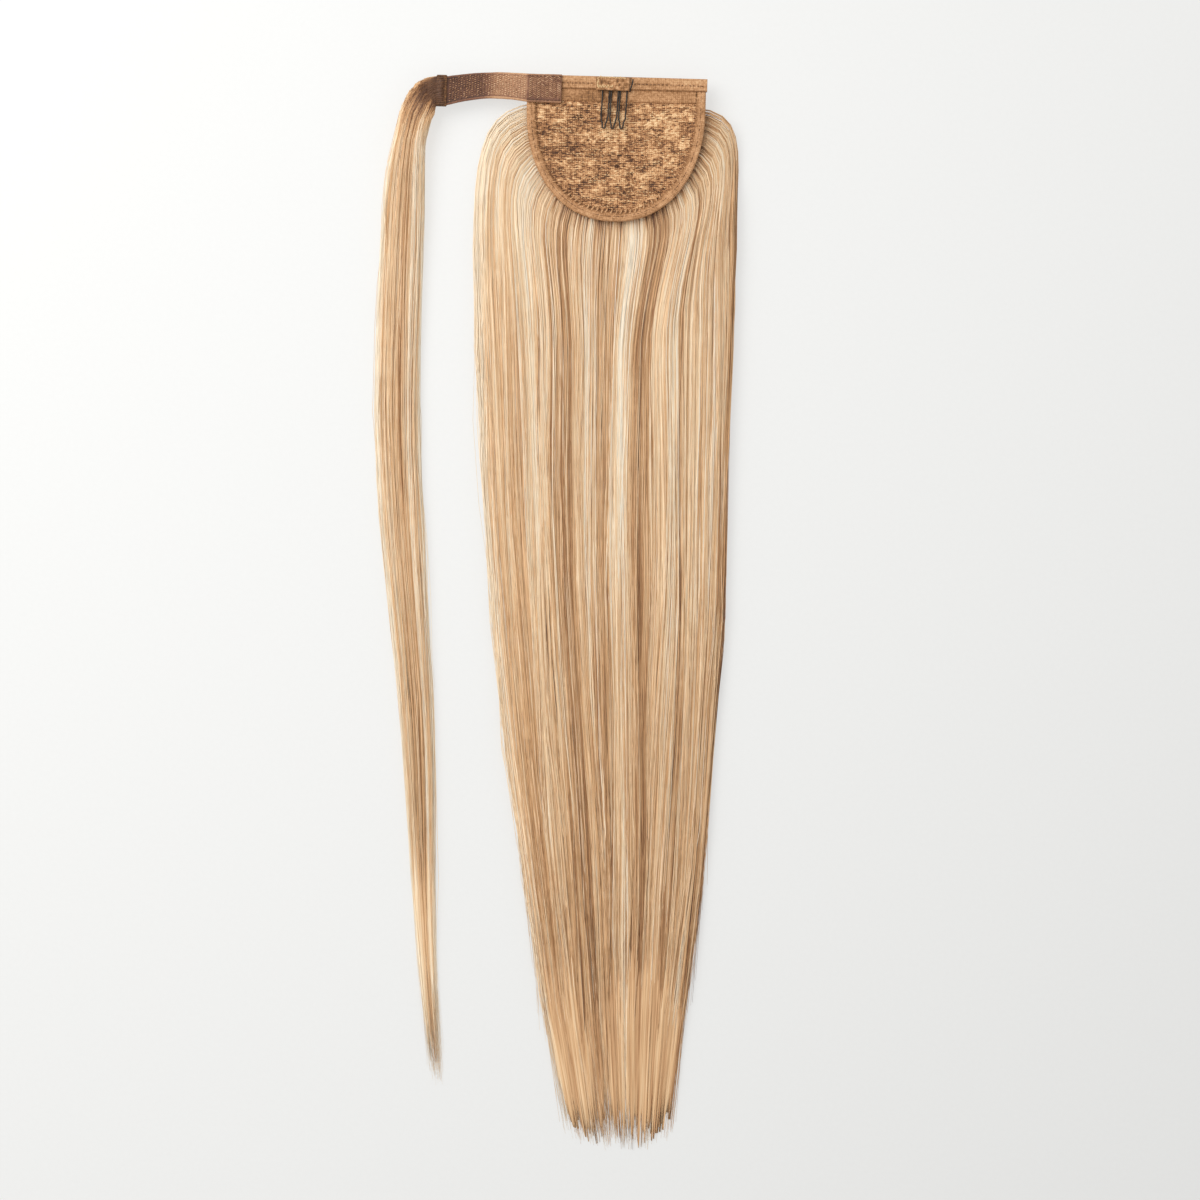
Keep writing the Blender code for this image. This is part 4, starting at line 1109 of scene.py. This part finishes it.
def makeFallMass():
    # its end runs out in points as fine as a few hairs, so that the tips thin out
    place = np.linspace(0.02, 0.98, 201)
    ends = fall["reach"] - 0.002 - rng.gamma(1.8, 0.0085, len(place)) - 0.016 * np.abs(2 * place - 1) ** 3
    ends -= 0.014 * np.exp(-(((place - 0.40) / 0.035) ** 2))
    x, down, height, run = fallPaths(place, ends)
    step = np.arange(x.shape[1])
    fine = np.linspace(0, step[-1], 88)
    x, down, height, run = (
        np.stack([np.interp(fine, step, row) for row in grid], axis=1) for grid in (x, down, height, run)
    )
    ridge = 0.0003 * (softNoise(place * 60, run * 3, 21) + softNoise(place * 16, 0, 22))
    # it lies below the drawn hairs, and among them at the tips
    sunk = 0.0010 - 0.0010 * smoothStep((down - 0.47) / 0.07)
    z = np.maximum(height - sunk + ridge * smoothStep((run - 0.004) / 0.03), 0.0006)
    z = z * (1 - 0.25 * smoothStep((run / run[-1:] - 0.98) / 0.02)) + 0.0002
    inset = 1 - 0.05 * np.abs(2 * place - 1)
    top, bottom = toWorld(x, down, z), toWorld(x * inset, down, 0.0002)
    # painted shade, as it lies under the drawn hairs, fading towards the tips
    tone = fallTone(place, down) - 0.06 + 0.06 * smoothStep((down - 0.52) / 0.05)
    flow = (place * 0.15, run)  # as on hair 150 mm wide
    addGrid("fall_mass", top, bottom, packedHair, ["hair_fall"], tone, flow)


def makePad():
    # the hair that is sewn under the cap, combed down towards the tips
    down = np.linspace(0.0150, 0.0760, 26)[:, None]
    x = np.maximum(capHalfWidth(down, 0.0045), 0.006) * np.linspace(-1, 1, 60)
    down = np.broadcast_to(down, x.shape)
    rounded = smoothStep((down - 0.0145) / 0.004) * 0.75 + 0.25
    ridge = 0.0003 * softNoise(x / 0.0012, down / 0.02, 23)
    z = (netLevel(x, down) - cap["hairGap"] - 0.0006) * rounded + ridge
    top, bottom = toWorld(*turned(x, down), z), toWorld(*turned(x, down), 0.0002)
    tone = 0.42 + 0.12 * softNoise(x / 0.004, down / 0.03, 24)
    addGrid("hair_under_cap", top, bottom, packedHair, (), tone, (x, down))


makeFallMass()
makePad()
makeFallHair()
print("fall of hair done")


# Strand that wraps round the ponytail

strand = {
    # down, sideways to the left, width, thickness and lift in millimetres, and turn in degrees
    "sections": [
        (-0.4, -3.0, 15.6, 1.2, 11.4, 91.6), (0.0, 0.3, 15.8, 1.3, 11.4, 91.6),
        (2.8, 5.4, 18.0, 3.6, 11.4, 62), (8.4, 9.3, 18.6, 5.0, 10.6, 33), (16.9, 13.0, 17.2, 6.2, 9.4, 15),
        (24.2, 14.8, 16.6, 7.0, 8.3, 9), (38.8, 16.9, 19.4, 7.7, 6.6, 6), (63.5, 18.7, 22.4, 8.0, 4.3, 5),
        (100, 20.6, 23.6, 8.0, 2.0, 3), (138.8, 22.1, 24.4, 8.0, 0.7, 1), (183.8, 22.6, 24.6, 7.8, 0, 0),
        (240, 20.1, 24.1, 7.4, 0, -3), (296.2, 15.8, 21.4, 6.7, 0, -4), (329.9, 13.0, 19.8, 6.2, 0, -4),
        (396.8, 9.6, 16.2, 5.3, 0, -3), (464.2, 7.3, 11.2, 3.8, 0, -3), (519.9, 3.9, 7.4, 2.0, 0, -5),
        (562, -0.6, 4.4, 0.8, 0, -5),
    ],
    "mouth": (-0.1006, 0.0106),
    "locks": 48, "perLock": 24, "perWisp": 5, "under": 0.72, "steps": 19, "width": 0.00015,
    "rootHairs": 230,
    "streaks": [
        (0.00, 0.94), (0.08, 0.86), (0.18, 0.74), (0.30, 0.60), (0.42, 0.54), (0.52, 0.58), (0.60, 0.54),
        (0.68, 0.66), (0.75, 0.84), (0.82, 0.70), (0.90, 0.86), (1.00, 0.90),
    ],
}


def strandSections(at):
    # the sections' values at a share of the strand's run, eased through the table's rows
    rows = np.array(strand["sections"], float)
    rows[:, :5] /= 1000
    rows[:, 5] = np.radians(rows[:, 5])
    run = np.concatenate([[0], np.cumsum(np.hypot(*np.diff(rows[:, :2], axis=0).T))])
    slope = np.gradient(rows, run, axis=0)
    where = np.clip(np.asarray(at), 0, 1) * run[-1]
    k = np.clip(np.searchsorted(run, where, side="right") - 1, 0, len(run) - 2)
    gap = (run[k + 1] - run[k])[..., None]
    t = ((where - run[k])[..., None]) / gap
    a, b = 2 * t**3 - 3 * t**2 + 1, t**3 - 2 * t**2 + t
    c, d = -2 * t**3 + 3 * t**2, t**3 - t**2
    return a * rows[k] + b * gap * slope[k] + c * rows[k + 1] + d * gap * slope[k + 1], where


def strandPlace(at, place, height):
    # place: -1 at the outer side to 1 at the inner. height: share of the thickness there
    values, run = strandSections(at)
    down, sideways, width, thick, lift, turn = np.moveaxis(values, -1, 0)
    mouthX, mouthDown = turned(*strand["mouth"])
    x = mouthX - sideways + np.cos(turn) * place * width / 2
    down = mouthDown + down + np.sin(turn) * place * width / 2
    z = np.maximum(lift, 0.0002) + thick * height * crown(place)
    return x, down, z, run


def strandTone(place, at):
    places, tones = np.array(strand["streaks"]).T
    tone = np.interp((place + 1) / 2, places, tones)
    root = 1 - smoothStep((at - 0.006) / 0.050)
    low = smoothStep((at - 0.45) / 0.4)
    core = 0.16 * low * np.exp(-(((place - 0.05) / 0.4) ** 2))
    # painted shade near the root, where the strand lies in its own shadow by the sleeve
    shade = 0.16 * (1 - smoothStep((at - 0.03) / 0.05)) + 0.46 * root * (0.75 + 0.25 * (place > -0.6))
    shade = shade + 0.22 * (1 - smoothStep((at - 0.004) / 0.028))
    # painted light at the tips, which light shines through
    tips = 0.16 * smoothStep((at - 0.70) / 0.20)
    return (tone - 0.6) * (1 - 0.2 * low) + 0.6 - core - shade + tips


def stepShares(count):
    # shares of a run that lie closer together at its root
    return np.linspace(0, 1, count) ** 1.8


def makeStrandMass():
    place = np.linspace(-0.97, 0.97, 41)[None, :]
    ends = 0.985 - rng.gamma(1.8, 0.024, place.shape) - 0.03 * place**2
    share = stepShares(92)[:, None] + 0 * place
    at, place = np.broadcast_arrays(share * ends, place)
    x, down, z, run = strandPlace(at, place, 1.0)
    ridge = 0.0003 * softNoise(place * 9, run * 3, 25) * smoothStep(at / 0.06)
    end = 1 - 0.2 * smoothStep((share - 0.95) / 0.05)
    _, _, foot, _ = strandPlace(at, place, 0.0)
    sunk = 0.0008 - 0.0011 * smoothStep((at - 0.68) / 0.16)
    thick = np.maximum((z - foot) * end - sunk + ridge, 0.0003)
    top, bottom = toWorld(x, down, foot + thick), toWorld(x, down, foot)
    # painted shade, as it lies under the drawn hairs
    tone = strandTone(place, at) - 0.08
    flow = ((place + 1) * 0.012, run)  # as on a strand 24 mm wide
    addGrid("strand_mass", top, bottom, packedHair, ["wrap_strand"], tone, flow)


def makeStrandHair():
    locks, perLock = strand["locks"], strand["perLock"]
    count = locks * perLock
    lockOf = np.repeat(np.arange(locks), perLock)
    lockRow, hairRow = lockOf[:, None], np.arange(count)[:, None]
    centre = (-1 + 2 * (np.arange(locks) + rng.uniform(0.2, 0.8, locks)) / locks)[lockOf]
    wispOf = np.arange(count) // strand["perWisp"]
    under = rng.random(wispOf[-1] + 1)[wispOf] < strand["under"]
    reach = (1.0 - np.abs(rng.normal(0, 0.014, locks)))[lockOf] - rng.gamma(1.8, 0.022, count)
    reach = np.where(under, rng.uniform(0.50, 0.80, count), np.clip(reach, 0.25, 1))
    at = stepShares(strand["steps"]) * reach[:, None]
    spread = rng.uniform(-1, 1, count)[:, None] * rng.uniform(0.8, 2.0, locks)[lockOf][:, None] * 2 / locks
    away = smoothStep(at / 0.10)
    place = centre[:, None] + spread * (0.8 + 0.4 * softNoise(at * 5, lockRow, 13))
    place = place + 0.05 * softNoise(at * 6, lockRow, 14) * away
    tips = smoothStep((at - 0.80) / 0.2)
    stray = (0.0005 + 0.0016 * (rng.random(count) < 0.05))[:, None]
    loose = (stray + 0.0020 * tips) * softNoise(at * 9, hairRow, 15) * away
    deep = np.where(rng.random(count) < 0.25, rng.uniform(0.1, 0.85, count), 1.0)[:, None]
    x, down, z, _ = strandPlace(at, np.clip(place, -1.02, 1.02), deep)
    dome = rng.normal(0, 0.00016, count)[:, None] + rng.normal(-0.0001, 0.0002, locks)[lockOf][:, None]
    dome = dome - 0.00025 * under[:, None]
    z = np.maximum(z + (dome + 0.0003 * softNoise(at * 6, lockRow, 16)) * away, 0.0003)
    kind = rng.random(wispOf[-1] + 1)
    wispTone = (rng.normal(0.0, 0.07, len(kind)) - 0.20 * (kind < 0.2) + 0.18 * (kind > 0.875))[wispOf]
    ownTone = rng.normal(0, 0.06, locks)[lockOf] + wispTone + rng.normal(0, 0.05, count)
    tone = strandTone(place, at) + ownTone[:, None]
    tone = tone + 0.06 * softNoise(at * 8, lockRow, 17) + 0.07 * softNoise(at * 9, wispOf[:, None], 18)
    share = at / at[:, -1:]
    # painted light: the ends are pale and warm, as light shines through them
    ends = smoothStep((share - 0.86) / 0.14) * np.where(under, 0, 1)[:, None]
    tone = np.clip(tone + 0.20 * ends, 0.02, 1)
    thin = 0.25 + 0.75 * smoothStep((1 - share) / 0.30)
    radii = strand["width"] * rng.uniform(0.75, 1.25, count)[:, None] * thin
    addHair("strand_hair", toWorld(x + loose, down, z), radii, tone, 0.30 + 0.5 * ends)


def makeRootHair():
    # short hairs that come out from under the sleeve's thread and hide its mouth
    count = strand["rootHairs"]
    place = rng.uniform(-1, 1, count)[:, None]
    out = np.array([0.012, 0.026, 0.042, 0.060, 0.080, 0.104]) * rng.uniform(0.8, 1.2, (count, 1))
    x, down, z, _ = strandPlace(out, place, 1.0)
    paths = toWorld(x, down, z + 0.0003 * rng.random((count, 1)))
    onSleeve = np.array([0.0, 0.30, 0.62, 1.0])
    startX = sleeve["right"] - 0.0012 - 0.0012 * rng.random((count, 1)) - 0.0046 * onSleeve
    startDown = hookTape["middle"] + hookTape["droop"] + (sleeve["halfAcross"] - 0.0008) * place
    rise = sleeve["halfUp"] * (1 - np.abs(place) ** 4) ** 0.5 + 0.00035
    rise = rise - 0.0010 * smoothStep((onSleeve - 0.6) / 0.4)
    starts = toWorld(*turned(startX, startDown), hookTape["endHeight"] + rise)
    paths = np.concatenate([starts, paths], axis=1)
    for _ in range(2):
        paths[:, 1:-1] = (paths[:, :-2] + 2 * paths[:, 1:-1] + paths[:, 2:]) / 4
    run = np.linspace(0, 1, paths.shape[1])
    own = strandTone(place, np.concatenate([np.zeros((count, 4)), out], axis=1))
    # painted shade: the hairs start dark by the sleeve and lighten as they leave it
    tone = -0.10 + (own + 0.10) * smoothStep((run - 0.20) / 0.5) + rng.normal(0, 0.11, (count, 1))
    radii = strand["width"] * (1 - 0.8 * smoothStep((run - 0.45) / 0.55)) + 0 * place
    addHair("strand_root_hair", paths, radii, np.clip(tone, 0.02, 0.98))


makeStrandMass()
makeStrandHair()
makeRootHair()
print("wrap strand done")


# Weft tracks keep their CAD shape, hidden between the net and the hair
for number in range(5):
    track = bpy.data.objects[f"weft_track_{number + 1}"]
    track.data.materials.clear()
    track.data.materials.append(tanThread)


# Stage, light and camera

view = {
    "centre": (600, 600), "pixel": 0.00056, "capPixel": (617, 77.2), "across": 1200,
    "lens": 85, "height": 0.010,
    "glow": 0.685, "fading": 0.0635, "brightest": (-0.9, 0.9, 0.0), "sky": 0.74, "half": 3.0,
    "softBox": (-0.75, 0.65, 1.25), "boxSize": 1.1, "boxPower": 15.0,
}


def makeStage():
    # a floor that glows with painted light, which keeps the shadows faint, as in the photograph
    floor, tree, shader = startMaterial("glowingFloorPaintedLight", 0.6)
    paint(tree, shader, [(0.3, "#8a8a89"), (0.7, "#8c8c8b")], speckle(tree, 400.0, 2.0))
    # its painted glow is brightest beyond its upper left corner
    where = addNode(tree, "ShaderNodeTexCoord").outputs["Object"]
    far = addNode(
        tree, "ShaderNodeVectorMath", {"operation": "DISTANCE", 1: view["brightest"]}, {0: where}
    ).outputs["Value"]
    square = calculate(tree, "MULTIPLY", far, far)
    glow = calculate(tree, "MULTIPLY_ADD", square, -view["fading"], view["glow"])
    glow.node.use_clamp = True
    tree.links.new(glow, shader.inputs["Emission Strength"])
    shader.inputs["Emission Color"].default_value = linear("#fefefc")
    mesh = bpy.data.meshes.new("floor")
    half = view["half"]
    square = [(-half, -half, 0), (half, -half, 0), (half, half, 0), (-half, half, 0)]
    mesh.from_pydata(square, [], [(0, 1, 2, 3)])
    mesh.materials.append(floor)
    plane = bpy.data.objects.new("floor", mesh)
    bpy.context.scene.collection.objects.link(plane)


def makeLights():
    world = bpy.data.worlds.new("studio")
    world.use_nodes = True
    sky = world.node_tree.nodes["Background"].inputs
    sky["Color"].default_value = linear("#fcfcfc")
    sky["Strength"].default_value = view["sky"]
    bpy.context.scene.world = world
    # a soft box above the upper left, as the shadows fall to the lower right
    light = bpy.data.lights.new("softBox", "AREA")
    light.size = view["boxSize"]
    light.energy = view["boxPower"]
    lamp = bpy.data.objects.new("softBox", light)
    lamp.location = view["softBox"]
    x, y, z = -np.array(view["softBox"])
    lamp.rotation_euler = (math.atan2(math.hypot(x, y), -z), 0, math.atan2(x, -y) + math.pi)
    bpy.context.scene.collection.objects.link(lamp)


def makeCamera():
    lens = bpy.data.cameras.new("camera")
    lens.lens = view["lens"]
    lens.sensor_width = 36
    lens.clip_start = 0.01
    camera = bpy.data.objects.new("camera", lens)
    away = view["across"] * view["pixel"] * view["lens"] / lens.sensor_width
    camera.location = (
        capTop[0] + (view["centre"][0] - view["capPixel"][0]) * view["pixel"],
        capTop[1] - (view["centre"][1] - view["capPixel"][1]) * view["pixel"],
        away + view["height"],
    )
    bpy.context.scene.collection.objects.link(camera)
    bpy.context.scene.camera = camera


makeStage()
makeLights()
makeCamera()
bpy.context.scene.view_settings.view_transform = "Standard"
print("stage done")
